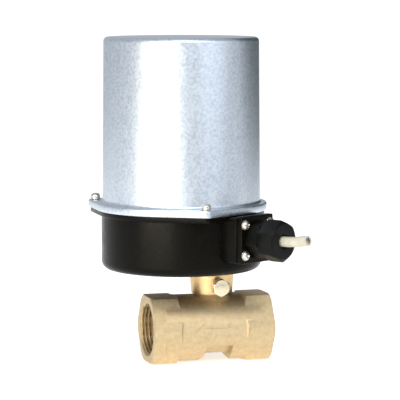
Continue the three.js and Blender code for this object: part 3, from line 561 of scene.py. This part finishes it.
sheath_wall = 0.9
insulation_radius = 0.95
strand_radius = 0.5
core_offset = 1.02
core_recess = 0.4
cable_line = through([on_gland(out, rise) for out, rise in cable_route])
sheath = tube(
    "cable_flex", cable_line, cable_diameter / 2, sides=32, inner=cable_diameter / 2 - sheath_wall,
)
place(sheath, Matrix(), "root", pale_pvc, "grey_pvc", "cable_sheath")
for i, (colour, insulated) in enumerate((("brown", brown_pvc), ("blue", blue_pvc), ("yellow", yellow_pvc))):
    x, y = polar(core_offset, 90 + 120 * i)
    core_line = [point + GLAND.to_3x3() @ Vector((x, y, 0)) for point in cable_line]
    core_line[-1] = cable_line[-1] + GLAND.to_3x3() @ Vector((x, y, -core_recess))
    core = tube(f"core_{colour}", core_line, insulation_radius, sides=16, inner=strand_radius)
    place(core, Matrix(), "root", insulated, "grey_pvc")
    strands = tube(f"conductor_{colour}", core_line, strand_radius, sides=12)
    place(strands, Matrix(), "root", bare_copper, "machined_brass")

# %% [markdown]
# ## The valve body
# The real body is a hot-stamped brass bar: hexagonal at both ends for a spanner, round between, and
# bored through. Here a rounded hexagonal bar is kept where it meets a turned crown, whose profile
# has the chamfers of the lathe and the soft run-outs of the stamping die.

# %% Valve body outside
inlet_x, outlet_x = low("valve_body").x, high("valve_body").x
hex_corner = high("valve_body").y
hex_flats = hex_corner * math.sqrt(3)
hex_length = 16
waist_radius = -low("valve_body").z
waist_overlap = 8
stub_radius = 10.4
stub_top = 22.5
boss_radius = 8.6
boss_top = high("valve_body").z


def chamfered_end(face, side):
    """One end of the crown, from the face in to the waist; side is the way that the face looks."""
    inner = face - side * hex_length
    return [
        (hex_corner - 1.7, face, 0.5), (hex_corner + 0.3, face - side * 1.8, 0.6),
        (hex_corner + 0.3, inner + side * 0.3, 1.2), (waist_radius, inner - side * 1.2, 1.8),
    ]


bar = slab(
    "valve_body_fine", regular(6, hex_flats, 90, rounding=1.1), inlet_x - 1, outlet_x + 1, edge=0,
)
crown = spin("crown", [
    (0, outlet_x), *chamfered_end(outlet_x, 1), *reversed(chamfered_end(inlet_x, -1)), (0, inlet_x),
], segments=180)
brass = keep_common(bar, crown)
waist = rod("waist", waist_radius, inlet_x + waist_overlap, outlet_x - waist_overlap, segments=180)
stub = spin("stub", [
    (0, 12), (stub_radius + 2.4, 17.4), (stub_radius, 20.6, 1.5), (stub_radius, stub_top, 0.6),
    (boss_radius, stub_top), (boss_radius, boss_top, 0.5), (0, boss_top),
])
brass = join(brass, waist, moved(stub, PIPE.inverted()))
print(f"bar {outlet_x - inlet_x:.0f} mm long, {hex_flats:.0f} mm across flats")

# %% [markdown]
# Under the middle the stamping die leaves a shallow recess, which saves brass. Its mouth is wider
# than its roof, so the part drops out of the die. A wedge with a round core taken out makes the cut.

# %% Recess under the body
recess_width = 17
recess_mouth = 22
recess_roof = -9.4
core_radius = 16.3
wedge = slab("wedge", rounded([
    (-recess_mouth / 2, -waist_radius - 1), (recess_mouth / 2, -waist_radius - 1),
    (recess_width / 2, -core_radius, 1.0), (recess_width / 2, recess_roof, 1.0),
    (-recess_width / 2, recess_roof, 1.0), (-recess_width / 2, -core_radius, 1.0),
]), -waist_radius - 1, waist_radius + 1, edge=0)
moved(wedge, PIPE.inverted() @ Matrix.Rotation(math.pi / 2, 4, "X"))
core = rod("core", core_radius, -14, 14)
brass = carve(brass, carve(wedge, core))
print("recess", recess_width, "mm wide")

# %% [markdown]
# Both ports carry a 1 inch pipe thread, with eleven turns to the inch. The tap is modelled as a
# plug whose radius rises and falls along a ramp that climbs one pitch per turn, and it is cut away.

# %% Threaded ports and the ball's cavity
port_crest = 15.15
port_depth = 17
thread_pitch = 25.4 / 11
thread_depth = 1.3
cavity_radius = 14.1
flow_radius = 9
seat_back = high("outlet_seat").x
collar_way_radius, collar_way_top = 6.9, 17.5
stem_way_radius = 5.3


def thread_tap(name, sides=72, rows_per_turn=8):
    """The shape that the tap leaves in the port, its mouth at z 0 and its floor below."""
    shape = bmesh.new()
    rings = []
    for r in range(round(port_depth / thread_pitch * rows_per_turn) + 1):
        z = r * thread_pitch / rows_per_turn
        fade = min(1.0, (port_depth - z) / (2 * thread_pitch))
        ring = []
        for k in range(sides):
            groove = min(1.0, max(0.0, 1.3 - 2.6 * abs((z / thread_pitch - k / sides) % 1.0 - 0.5)))
            x, y = polar(port_crest + thread_depth * groove * max(fade, 0), 360 * k / sides)
            ring.append(shape.verts.new((x, y, -z)))
        rings.append(ring)
    for ring, after in zip(rings, rings[1:]):
        for k in range(sides):
            n = (k + 1) % sides
            shape.faces.new((ring[k], ring[n], after[n]))
            shape.faces.new((ring[k], after[n], after[k]))
    shape.faces.new(rings[0])
    shape.faces.new(rings[-1])
    return as_object(name, shape)


ports = []
for face, side in ((outlet_x, 1), (inlet_x, -1)):
    facing = Matrix.Rotation(math.pi * (side < 0), 4, "X")
    ports.append(moved(thread_tap("tap"), Matrix.Translation((0, 0, face + side * 0.02)) @ facing))
    ports.append(spin("lead_in", [
        (0, face + side), (port_crest + 2.7, face + side), (port_crest + 1.7, face),
        (port_crest - 0.2, face - side * 1.9), (0, face - side * 1.9),
    ]))
ports.append(rod("cavity", cavity_radius, seat_back + 0.3, inlet_x + port_depth - 1))
ports.append(rod("flow", flow_radius, 0, outlet_x))
stem_way = spin("stem_way", [
    (0, 0), (collar_way_radius, 0), (collar_way_radius, collar_way_top), (stem_way_radius, collar_way_top),
    (stem_way_radius, boss_top + 1), (0, boss_top + 1),
])
ports.append(moved(stem_way, PIPE.inverted()))
brass = carve(brass, *ports)
print("thread pitch", round(thread_pitch, 2), "mm")

# %% [markdown]
# Marks are cast proud on the front of such a body. A plain two-ended arrow takes their place, which
# says that water may run either way. The arrow is pushed through the wall and kept only where it
# meets a cylinder a little larger than the waist. The faces inside the ports then take the darker
# bored brass, picked by their distance from the pipe's axis; that darkness is painted shade.

# %% Flow arrow
arrow_height = 3.4
arrow_reach = 13.5
arrow_x = -2.2
head_length = 5.6
head_half = 4.8
relief = 0.7
half_arrow = [
    (arrow_reach, 0, 0.3), (arrow_reach - head_length, head_half, 0.4),
    (arrow_reach - head_length, arrow_height / 2, 0.3),
]
arrow_outline = half_arrow + [(-x, y, r) for x, y, r in reversed(half_arrow)]
arrow_outline += [(x, -y, r) for x, y, r in reversed(arrow_outline)][1:-1]
arrow = slab("arrow", rounded(arrow_outline, 3), 16, 22, edge=0)
moved(arrow, PIPE.inverted() @ Matrix.Translation((arrow_x, 0, 0)) @ Matrix.Rotation(math.pi / 2, 4, "X"))
proud = rod("proud", waist_radius + relief, -17, 14, segments=128)
brass = join(brass, keep_common(arrow, proud))
soften(brass, 0.25, 2, angle=42)
place(brass, PIPE, "root", blasted_brass, "satin_brass", "valve_body", sharp=28)
# Faces inside the ports get the darker brass, which paints the shade inside the bore.
brass.data.materials.append(port_brass_painted_dark)
for face in brass.data.polygons:
    off_axis = math.hypot(face.center.y, face.center.z) / MM
    face.material_index = int(off_axis < port_crest + 0.6)
print(len(brass.data.polygons), "faces in the body")

# %% [markdown]
# ## The ball
# The chromed ball shows through the open ports. It is a turned sphere with the flow way bored
# through it and a slot milled for the stem's tang.

# %% Ball
ball_radius = 13.5


def arc(radius, start, stop, steps=24):
    """Points on a circle about the origin, in degrees from the outline's first axis."""
    return [polar(radius, start + (stop - start) * k / steps) for k in range(steps + 1)]


ball = spin("ball_fine", [(0, -ball_radius), *arc(ball_radius, -88, 88), (0, ball_radius)], segments=128)
bore = rod("bore", flow_radius, -15, 15)
slot = slab("slot", [(-2.8, -15), (2.8, -15), (2.8, 15), (-2.8, 15)], 10.5, 15, edge=0)
ball = carve(ball, moved(bore, PIPE), slot)
soften(ball, 0.35, 3)
place(ball, Matrix(), "output", hard_chrome, "ball_chrome", "ball")

# %% [markdown]
# ## The neck
# A turned brass sleeve joins the valve to the housing: it comes down over the bonnet, widens a
# little towards the top, and goes through the housing floor to a lock nut. A hexagon-headed bolt
# from the front clamps it to the valve's boss. Turned parts are spun outlines with small edge radii.

# %% Neck sleeve
neck_low = low("neck_sleeve").z
neck_high = low("base_housing").z - 0.3
sleeve_low_radius = 12.6
sleeve_top_radius = 13.7
skirt_inner = 10.7
boss_way = 8.9
spigot_radius = 9.0
spigot_top = high("neck_sleeve").z
web = high("neck_washer").z + 0.3
bolt_hole = 2.8
sleeve = spin("neck_sleeve_fine", [
    (skirt_inner, neck_low), (sleeve_low_radius, neck_low, 0.5), (sleeve_low_radius + 0.15, neck_low + 2.2),
    (sleeve_top_radius - 0.05, neck_high - 2.2), (sleeve_top_radius, neck_high, 0.7),
    (spigot_radius, neck_high),
    (spigot_radius, spigot_top, 0.6), (stem_way_radius, spigot_top), (stem_way_radius, web), (boss_way, web),
    (boss_way, stub_top + 0.3), (skirt_inner, stub_top + 0.3),
], segments=128)
carve(sleeve, moved(rod("drill", bolt_hole, 2, 17), BOLT))
soften(sleeve, 0.2)
place(sleeve, Matrix(), "root", turned_neck, "satin_brass", "neck_sleeve")
print(f"neck {neck_high - neck_low:.1f} mm long")

# %% [markdown]
# A hexagon head is a hexagonal bar cut by a turned crown, which leaves the curved chamfer lines at
# its corners. The same helper makes the clamp bolt, the lock nut and the collar of the gland.


# %% Hexagon heads, clamp bolt and lock nut
def hex_head(name, flats, z0, z1, chamfer, corner_degrees=0, crown_steps=6):
    """A hexagonal bar with the turned crown of a bolt head at z1."""
    bar = slab(name, regular(6, flats, corner_degrees, rounding=0.35), z0, z1, edge=0)
    corner = flats / math.sqrt(3)
    crown = spin("crown", [
        (0, z0 - 1), (corner + 0.2, z0 - 1), (corner + 0.2, z1 - chamfer * 0.55),
        (flats / 2 - 0.15, z1), (0, z1),
    ], segments=128)
    return keep_common(bar, crown)


bolt_flats = 10
bolt_seat = 14.0
bolt_head = 4.2
bolt = hex_head("clamp_bolt_fine", bolt_flats, bolt_seat, bolt_seat + bolt_head, 1.6)
shank = spin("shank", [(0, 7.9), (2.5, 7.9, 0.4), (2.5, bolt_seat + 1), (0, bolt_seat + 1)], segments=40)
join(bolt, shank)
soften(bolt, 0.18)
place(bolt, BOLT, "root", cream_bolt, "plain_steel", "clamp_bolt")

nut_low, nut_high = low("neck_lock_nut").z, high("neck_lock_nut").z
lock_nut_flats = 24
lock_nut = hex_head("neck_lock_nut_fine", lock_nut_flats, nut_low, nut_high, 1.8, corner_degrees=30)
carve(lock_nut, rod("way", spigot_radius + 0.3, 30, 60))
soften(lock_nut, 0.2)
place(lock_nut, Matrix(), "root", zinc_screw, "plain_steel", "neck_lock_nut")
print("clamp bolt turned", round(math.degrees(bolt_turn)), "degrees")

# %% [markdown]
# ## The die-cast base
# The base is a pressure die casting, so every corner has a radius: 5 mm round the floor, and a
# small one at the rim band. It carries three ears for the cover screws, a square boss for the cable
# gland and three bosses inside for the gear plates. The eared outline is a circle and three small
# circles joined by their common tangents.

# %% Eared outline
drum_radius = 48.5
drum_floor = low("base_housing").z
rim_low, rim_high = 69.8, high("base_housing").z
rim_radius = 50.5
screw_circle = 54.5
ear_degrees = (-90, 30, 150)
ear_radius = 3.0


def eared(radius, ear, arc_steps=40, ear_steps=12):
    spread = math.degrees(math.acos((radius - ear) / screw_circle))
    points = []
    for angle in ear_degrees:
        centre = polar(screw_circle, angle)
        points += [
            polar(ear, angle - spread + 2 * spread * k / ear_steps, centre) for k in range(ear_steps + 1)
        ]
        first, last = angle + spread, angle + 120 - spread
        points += [polar(radius, first + (last - first) * k / arc_steps) for k in range(arc_steps + 1)]
    return points


ear_places = [polar(screw_circle, angle) for angle in ear_degrees]
screw_hole = 1.8


def ear_holes(z0, z1):
    """Three drills, one for the screw of each ear."""
    return [
        moved(rod("way", screw_hole, z0, z1, segments=32), Matrix.Translation((x, y, 0)))
        for x, y in ear_places
    ]


print(len(eared(rim_radius, ear_radius)), "points round the rim")

# %% Base
gland_face = 57
boss_half = 14
boss_relief = 1
pillar_places = [polar(39.5, angle) for angle in (55, 136, 275)]
wall_inner = 46
base = spin("base_housing_fine", [
    (0, drum_floor), (drum_radius, drum_floor, 5.0), (drum_radius, rim_low + 2), (0, rim_low + 2),
], segments=180, steps=10)
band = slab("band", eared(rim_radius, ear_radius), rim_low, rim_high, edge=0.9, edge_steps=4)
boss = slab("boss", rounded([
    (boss_relief - boss_half, -boss_half, 1.2), (boss_half, -boss_half, 1.2),
    (boss_half, boss_half, 1.2), (boss_relief - boss_half, boss_half, 1.2),
], 4), 30, gland_face, edge=0)
soften(boss, 0.5, 3)
moved(boss, HOUSING.inverted() @ GLAND)
base = join(base, band, boss)
room = spin("room", [(0, 40), (wall_inner, 40, 4.0), (wall_inner, 90), (0, 90)], segments=180)
gland_way_radius = 8
gland_way = moved(rod("way", gland_way_radius, 20, 60), HOUSING.inverted() @ GLAND)
neck_way = moved(rod("way", spigot_radius + 0.3, 30, 45), HOUSING.inverted())
base = carve(base, room, gland_way, neck_way, *ear_holes(60, 90))
pillar_bosses = [
    moved(
        spin("boss", [(1.8, 55), (3, 55), (3, 63.7, 0.3), (1.8, 63.7)], segments=40),
        Matrix.Translation((x, y, 0)),
    ) for x, y in pillar_places
]
for (x, y), boss in zip(pillar_places, pillar_bosses):
    root = moved(
        spin("boss_root", [(0, 39), (6, 39), (3.6, 42, 1.5), (3, 56), (0, 56)], segments=40),
        Matrix.Translation((x, y, 0)),
    )
    base = join(base, root, boss)
place(base, HOUSING, "root", black_paint, "black_paint", "base_housing", sharp=40)
print(len(base.data.polygons), "faces in the base")

# %% [markdown]
# ## The gasket and the cover
# The can is one deep-drawn sheet, about a millimetre thick, rolled out into a flange whose edge is
# turned down over the base. It is made as an inner and an outer skin: the eared flange and the
# spun can are joined, and the same shape a sheet smaller is taken out of them.

# %% Gasket
gasket_low, gasket_high = low("cover_gasket").z, high("cover_gasket").z
seal = slab(
    "cover_gasket_fine", eared(rim_radius, ear_radius), gasket_low, gasket_high,
    holes=[
        circle(wall_inner + 0.5, segments=120),
        *[circle(screw_hole, centre, 24) for centre in ear_places],
    ],
    edge=0.12,
)
place(seal, HOUSING, "root", nitrile, "seal_rubber", "cover_gasket")
print("gasket", round(gasket_high - gasket_low, 2), "mm thick")

# %% Cover
seat = gasket_high + 0.3
sheet = 1.0
can_low_radius, can_top_radius = 47.8, 47.0
can_top = high("cover").z
skirt_low = low("cover").z
skirt_radius, skirt_ear = 50.8, 3.3
flange_top = seat + sheet


def can(name, inset, low_z):
    """The drawn can, as a solid, with a flat top and a tight corner."""
    return spin(name, [
        (0, low_z), (can_low_radius - inset, low_z), (can_top_radius - inset, can_top - inset, 2.6 - inset),
        (can_top_radius * 0.5, can_top - inset), (0, can_top - inset),
    ], segments=256, steps=10)


cover = slab(
    "cover_fine", eared(skirt_radius + sheet, skirt_ear + sheet, 60), skirt_low, flange_top, edge=0,
)
soften(cover, 0.75, 4, angle=60)
foot = 1.5
foot_radius = can_low_radius + foot
foot_arc = [polar(foot, -90 - 90 / 8 * k, (foot_radius, flange_top + foot)) for k in range(1, 9)]
fillet = spin("fillet", [
    (0, flange_top - 0.5), (foot_radius, flange_top - 0.5), (foot_radius, flange_top), *foot_arc,
    (0, flange_top + foot),
], segments=256)
cover = join(cover, fillet, can("can", 0, flange_top - 0.6))
hollow = slab("hollow", eared(skirt_radius, skirt_ear, 60), skirt_low - 1, seat, edge=0)
cover = carve(cover, can("inner", sheet, seat - 1), hollow, *ear_holes(70, 82))
place(cover, HOUSING, "cover", zinc_plate, "zinc_steel", "cover", sharp=50)
print(len(cover.data.polygons), "faces in the cover")

# %% [markdown]
# ## Screws
# Pan-head screws with a cross recess hold the cover and the gland plate. The head is a spun dome,
# and the recess is two tapered blades cut out of it. Each cover screw also traps a flat washer and a
# split spring washer, whose gap is a narrow slot.


# %% Pan-head screws
def pan_screw(name, seat, length, radius, head_radius, head_height, turn=0):
    head_top = seat + head_height
    screw = spin(name, [
        (0, seat - length), (radius - 0.3, seat - length, 0.1), (radius, seat - length + 0.5, 0.1),
        (radius, seat), (head_radius, seat, 0.15),
        (head_radius, seat + head_height * 0.5, head_height * 0.45),
        (head_radius * 0.55, head_top - 0.05, 0.6), (0, head_top),
    ], segments=48, steps=6)
    width, reach = head_radius * 0.15, head_radius * 0.56
    for angle in (turn, turn + 90):
        outline = [(-reach, -width), (reach, -width), (reach, width), (-reach, width)]
        blade = slab("blade", outline, 0, 1, edge=0)
        for vert in blade.data.vertices:
            deep = vert.co.z < 0.5
            vert.co.x *= 0.45 if deep else 1.06
            vert.co.y *= 0.7 if deep else 1.1
            vert.co.z = head_top - head_height * (0.62 if deep else -0.1)
        moved(blade, Matrix.Rotation(math.radians(angle), 4, "Z"))
        carve(screw, blade)
    return screw


def split_washer(z0, z1, inner, outer, turn):
    piece = spin("split_washer", [(inner, z0), (outer, z0), (outer, z1), (inner, z1)], segments=72)
    half_gap = 0.22
    outline = [(0, -half_gap), (outer + 1, -half_gap), (outer + 1, half_gap), (0, half_gap)]
    cut = slab("cut", outline, z0 - 1, z1 + 1, edge=0)
    carve(piece, moved(cut, Matrix.Rotation(math.radians(turn), 4, "Z")))
    return soften(piece, 0.07)


washer_stack = 1.3
head_seat = flange_top + 0.3 + washer_stack
screw_radius = 1.5
pan_radius = 2.75
screw_end = low("cover_screw_1").z
for i, (x, y) in enumerate(ear_places):
    turn = (38, 75, 12)[i]
    length = head_seat - screw_end
    screw = pan_screw(f"cover_screw_{i + 1}_fine", head_seat, length, screw_radius, pan_radius, 2.2, turn)
    lower = spin("flat_washer", [
        (1.4, flange_top + 0.28, 0.06), (3.05, flange_top + 0.28, 0.1),
        (3.05, flange_top + 0.82, 0.1), (1.4, flange_top + 0.82, 0.06),
    ], segments=64)
    upper = split_washer(flange_top + 0.84, head_seat + 0.02, 1.4, 2.7, turn + 40)
    node = f"cover_screw_{i + 1}"
    at = Matrix.Translation((x, y, 0))
    place(screw, HOUSING @ at, "cover", zinc_screw, "plain_steel", node)
    for part, name in ((lower, "flat_washer"), (upper, "spring_washer")):
        part.name = f"{name}_{i + 1}"
        place(part, HOUSING @ at, "cover", zinc_screw, "plain_steel")
print("cover screws", round(head_seat - screw_end, 1), "mm long")

# %% [markdown]
# ## The cable gland
# The gland is bolted to the base through a square cast plate. Its body has a hexagon for the
# spanner and a thread, and its hexagonal nut squeezes a rubber seal round the cable. The moulded
# nut has soft corners and a turned-in mouth.

# %% Gland plate and its screws
plate_back, plate_front = 57.3, 61.3
gland_screws = [(rise * 9, side * 11) for rise in (-1, 1) for side in (-1, 1)]
plate = slab("gland_plate_fine", rounded([
    (-boss_half, -boss_half, 1.0), (boss_half, -boss_half, 1.0),
    (boss_half, boss_half, 1.0), (-boss_half, boss_half, 1.0),
], 4), plate_back, plate_front, edge=0.4, edge_steps=3)
carve(plate, rod("way", gland_way_radius, 50, 70))
place(plate, GLAND, "root", black_paint, "black_paint", "gland_plate")
for i, (x, y) in enumerate(gland_screws):
    turn = 20 + 31 * i
    screw = pan_screw(
        f"gland_plate_screw_{i + 1}_fine", plate_front + 0.3, 9.5, screw_radius, pan_radius, 2.0, turn,
    )
    ring = spin(f"gland_plate_washer_{i + 1}", [
        (1.7, plate_front + 0.02), (3.0, plate_front + 0.02, 0.1), (3.0, plate_front + 0.28, 0.1),
        (1.7, plate_front + 0.28),
    ], segments=48)
    at = Matrix.Translation((x, y, 0))
    place(screw, GLAND @ at, "root", zinc_screw, "plain_steel", f"gland_plate_screw_{i + 1}")
    place(ring, GLAND @ at, "root", zinc_screw, "plain_steel")
print("gland plate", 2 * boss_half, "mm square")

# %% Gland body, seal and nut
collar_flats, collar_turn = 20, -18
nut_flats, nut_turn = 22, 5
hex_back, hex_front = 61.6, 70.4
nut_back, nut_front = 70.7, gland_mouth
seal_back, seal_front = 72.7, 79.6
gland_body = spin("gland_body_fine", [
    (3.6, 49.5), (7.7, 49.5, 0.4), (7.7, hex_back + 1), (8.6, hex_back + 1),
    (8.6, seal_front - 0.6, 0.4), (6.5, seal_front - 0.6, 0.3), (6.5, seal_back - 0.3),
    (3.6, seal_back - 0.3),
], segments=96)
collar = hex_head("collar", collar_flats, hex_back, hex_front, 1.4, corner_degrees=collar_turn)
carve(collar, rod("way", 7, 50, 80))
join(gland_body, collar)
soften(gland_body, 0.25)
place(gland_body, GLAND, "root", moulded_nylon, "black_plastic", "gland_body")
grommet = spin("gland_seal_fine", [
    (3.12, seal_back, 0.3), (6.2, seal_back, 0.4), (6.2, seal_front - 0.3, 0.5),
    (3.12, seal_front - 0.3, 0.5),
], segments=64)
place(grommet, GLAND, "root", nitrile, "seal_rubber", "gland_seal")
nut = slab(
    "gland_nut_fine", regular(6, nut_flats, nut_turn, rounding=0.9), nut_back, nut_front, edge=0,
)
nut_crown = spin("crown", [
    (0, nut_back - 1), (11.6, nut_back - 1), (12.4, nut_back + 0.6), (12.9, nut_back + 1.2),
    (12.9, nut_front - 2.2, 1.0), (10.3, nut_front, 0.7), (0, nut_front),
], segments=128)
keep_common(nut, nut_crown)
carve(nut, spin("hollow", [
    (0, 60), (8.9, 60), (8.9, seal_front), (3.6, seal_front), (3.6, nut_front - 1.0),
    (4.6, nut_front + 0.02), (4.6, 90), (0, 90),
]))
soften(nut, 0.3, 3)
place(nut, GLAND, "root", moulded_nylon, "black_plastic", "gland_nut")
print(f"gland nut {nut_front - nut_back:.1f} mm long")

# %% [markdown]
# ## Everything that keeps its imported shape
# The gears, plates, screws and switches inside have the right shape already, so they stay as they
# are. Each takes a finish for its own material, its facets are welded, and a narrow bevel takes the
# knife edge off it. The finish is chosen by the material slot, with a few pieces named one by one.

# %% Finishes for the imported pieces
by_slot = {
    "satin_brass": blasted_brass, "machined_brass": turned_brass, "zinc_steel": rolled_steel,
    "plain_steel": rolled_steel, "ball_chrome": hard_chrome, "black_paint": black_paint,
    "black_plastic": moulded_nylon, "white_plastic": pale_nylon, "ptfe": ptfe, "seal_rubber": nitrile,
    "grey_pvc": pale_pvc, "board_green": solder_mask, "capacitor_film": wrapped_film,
}
by_name = {
    "output_gear": hobbed_steel, "idler_gear": hobbed_steel, "output_shaft": hobbed_steel,
    "idler_pin": zinc_screw, "motor_shaft": zinc_screw, "motor": rolled_steel, "motor_gearbox": rolled_steel,
}
slots = {entry["node"]: entry["material_slot"] for entry in frame["record"]["subparts"]}
kept = 0
for name, thing in frame["nodes"].items():
    chosen = by_name.get(name, by_slot[slots[name]])
    thing.data.materials.clear()
    thing.data.materials.append(chosen)
    weld = thing.modifiers.new("weld", "WELD")
    weld.merge_threshold = 0.00001
    edge = thing.modifiers.new("edge", "BEVEL")
    edge.width = 0.00015
    edge.segments = 2
    edge.angle_limit = math.radians(35)
    kept += 1
print(kept, "packed pieces finished")

# %% [markdown]
# ## Floor and light
# A plain pale floor carries the object. A tall strip light to the front left gives the round can
# its broad white band, and a wide cool one fills the right. A panel above the camera reaches the top
# of the valve, one overhead softens the shadows, and a thin warm strip low on the left is there for
# the black base to mirror. The
# world is white where the camera sees it and dimmer where it lights, so the background stays clean.
# Polished and painted things look like what is round them, so two dark sheets out of the picture
# darken the right edge of the can and the right half of the base. Only reflections see them.

# %% Floor
floor_z = cad_low.z
extent = 1.4
floor_shape = bmesh.new()
across = 24
grid = [[
    floor_shape.verts.new((extent * (2 * i / across - 1), extent * (2 * j / across - 1), floor_z - 0.0005))
    for j in range(across + 1)] for i in range(across + 1)]
for i in range(across):
    for j in range(across):
        floor_shape.faces.new((grid[i][j], grid[i + 1][j], grid[i + 1][j + 1], grid[i][j + 1]))
floor = as_object("floor", floor_shape)
paper = finish(
    "matt_white_paper", "#F9F9F8", roughness=0.95, emission_strength=0.5, emission_color=(1, 1, 1, 1),
)
mottle(paper, 60.0, "#F8F8F7", "#FBFBFA")
floor.data.materials.append(paper)

# %% Lights
world = bpy.data.worlds.new("studio")
bpy.context.scene.world = world
world.use_nodes = True
sky = world.node_tree
room = sky.nodes["Background"]
room.inputs["Color"].default_value = (0.80, 0.84, 0.88, 1)
room.inputs["Strength"].default_value = 0.62
sheet = add(sky, "Background", {"Color": (1, 1, 1, 1), "Strength": 1.1})
seen = add(sky, "MixShader", {"Fac": add(sky, "LightPath").outputs["Is Camera Ray"]})
sky.links.new(room.outputs[0], seen.inputs[1])
sky.links.new(sheet.outputs[0], seen.inputs[2])
sky.links.new(seen.outputs[0], sky.nodes["World Output"].inputs["Surface"])


def stand(thing, bearing, rise, distance):
    """Stands a thing facing the object; the bearing is counted from the camera, to the right."""
    angle = view_turn + math.radians(bearing)
    out = Vector((math.sin(angle), -math.cos(angle), math.tan(math.radians(rise))))
    thing.location = Vector((housing_x, 0, 90)) * MM + out * distance
    thing.rotation_euler = out.to_track_quat("Z", "Y").to_euler()
    thing.visible_camera = False


def lamp(name, bearing, rise, distance, width, height, power, colour):
    """A soft panel of light, in metres and watts."""
    panel = bpy.data.lights.new(name, "AREA")
    panel.shape = "RECTANGLE"
    panel.size = width
    panel.size_y = height
    panel.energy = power
    panel.color = colour
    thing = bpy.data.objects.new(name, panel)
    stand(thing, bearing, rise, distance)
    bpy.context.scene.collection.objects.link(thing)
    return thing


def dark_panel(name, bearing, rise, distance, width, height, colour):
    """A dark sheet beside the object, which only reflections see."""
    shape = bmesh.new()
    bmesh.ops.create_grid(shape, x_segments=2, y_segments=2, size=0.5)
    screen = as_object(name, shape)
    screen.scale = (width, height, 1)
    stand(screen, bearing, rise, distance)
    screen.visible_diffuse = False
    screen.visible_shadow = False
    screen.data.materials.append(finish(name + "_cloth", colour, roughness=0.95))
    return screen


lamp("key", -29, 10, 2.2, 0.75, 2.4, 30, (1.0, 0.98, 0.94))
lamp("fill", 46, 14, 2.4, 1.9, 2.2, 11, (0.90, 0.95, 1.0))
lamp("front", 8, 38, 1.5, 1.4, 0.6, 16, (1.0, 0.98, 0.95))
low_strip = lamp("low_strip", -34, 0, 0.9, 0.8, 0.06, 2.2, (1.0, 0.86, 0.58))
low_strip.location.z = 0.0
lamp("top", 0, 75, 2.2, 2.0, 2.0, 17, (1.0, 1.0, 1.0))
card_bearing = 44
card = dark_panel("card", card_bearing, 0, 0.86, 0.95, 0.9, "#0E0F0D")
card.location.z = cad_low.z + 0.0005
card.rotation_euler = (0, 0, view_turn + math.radians(card_bearing))
dark_panel("screen", 134, 6, 1.3, 1.7, 2.4, "#1B2724")
bpy.context.scene.view_settings.view_transform = "Standard"
print("lights set")
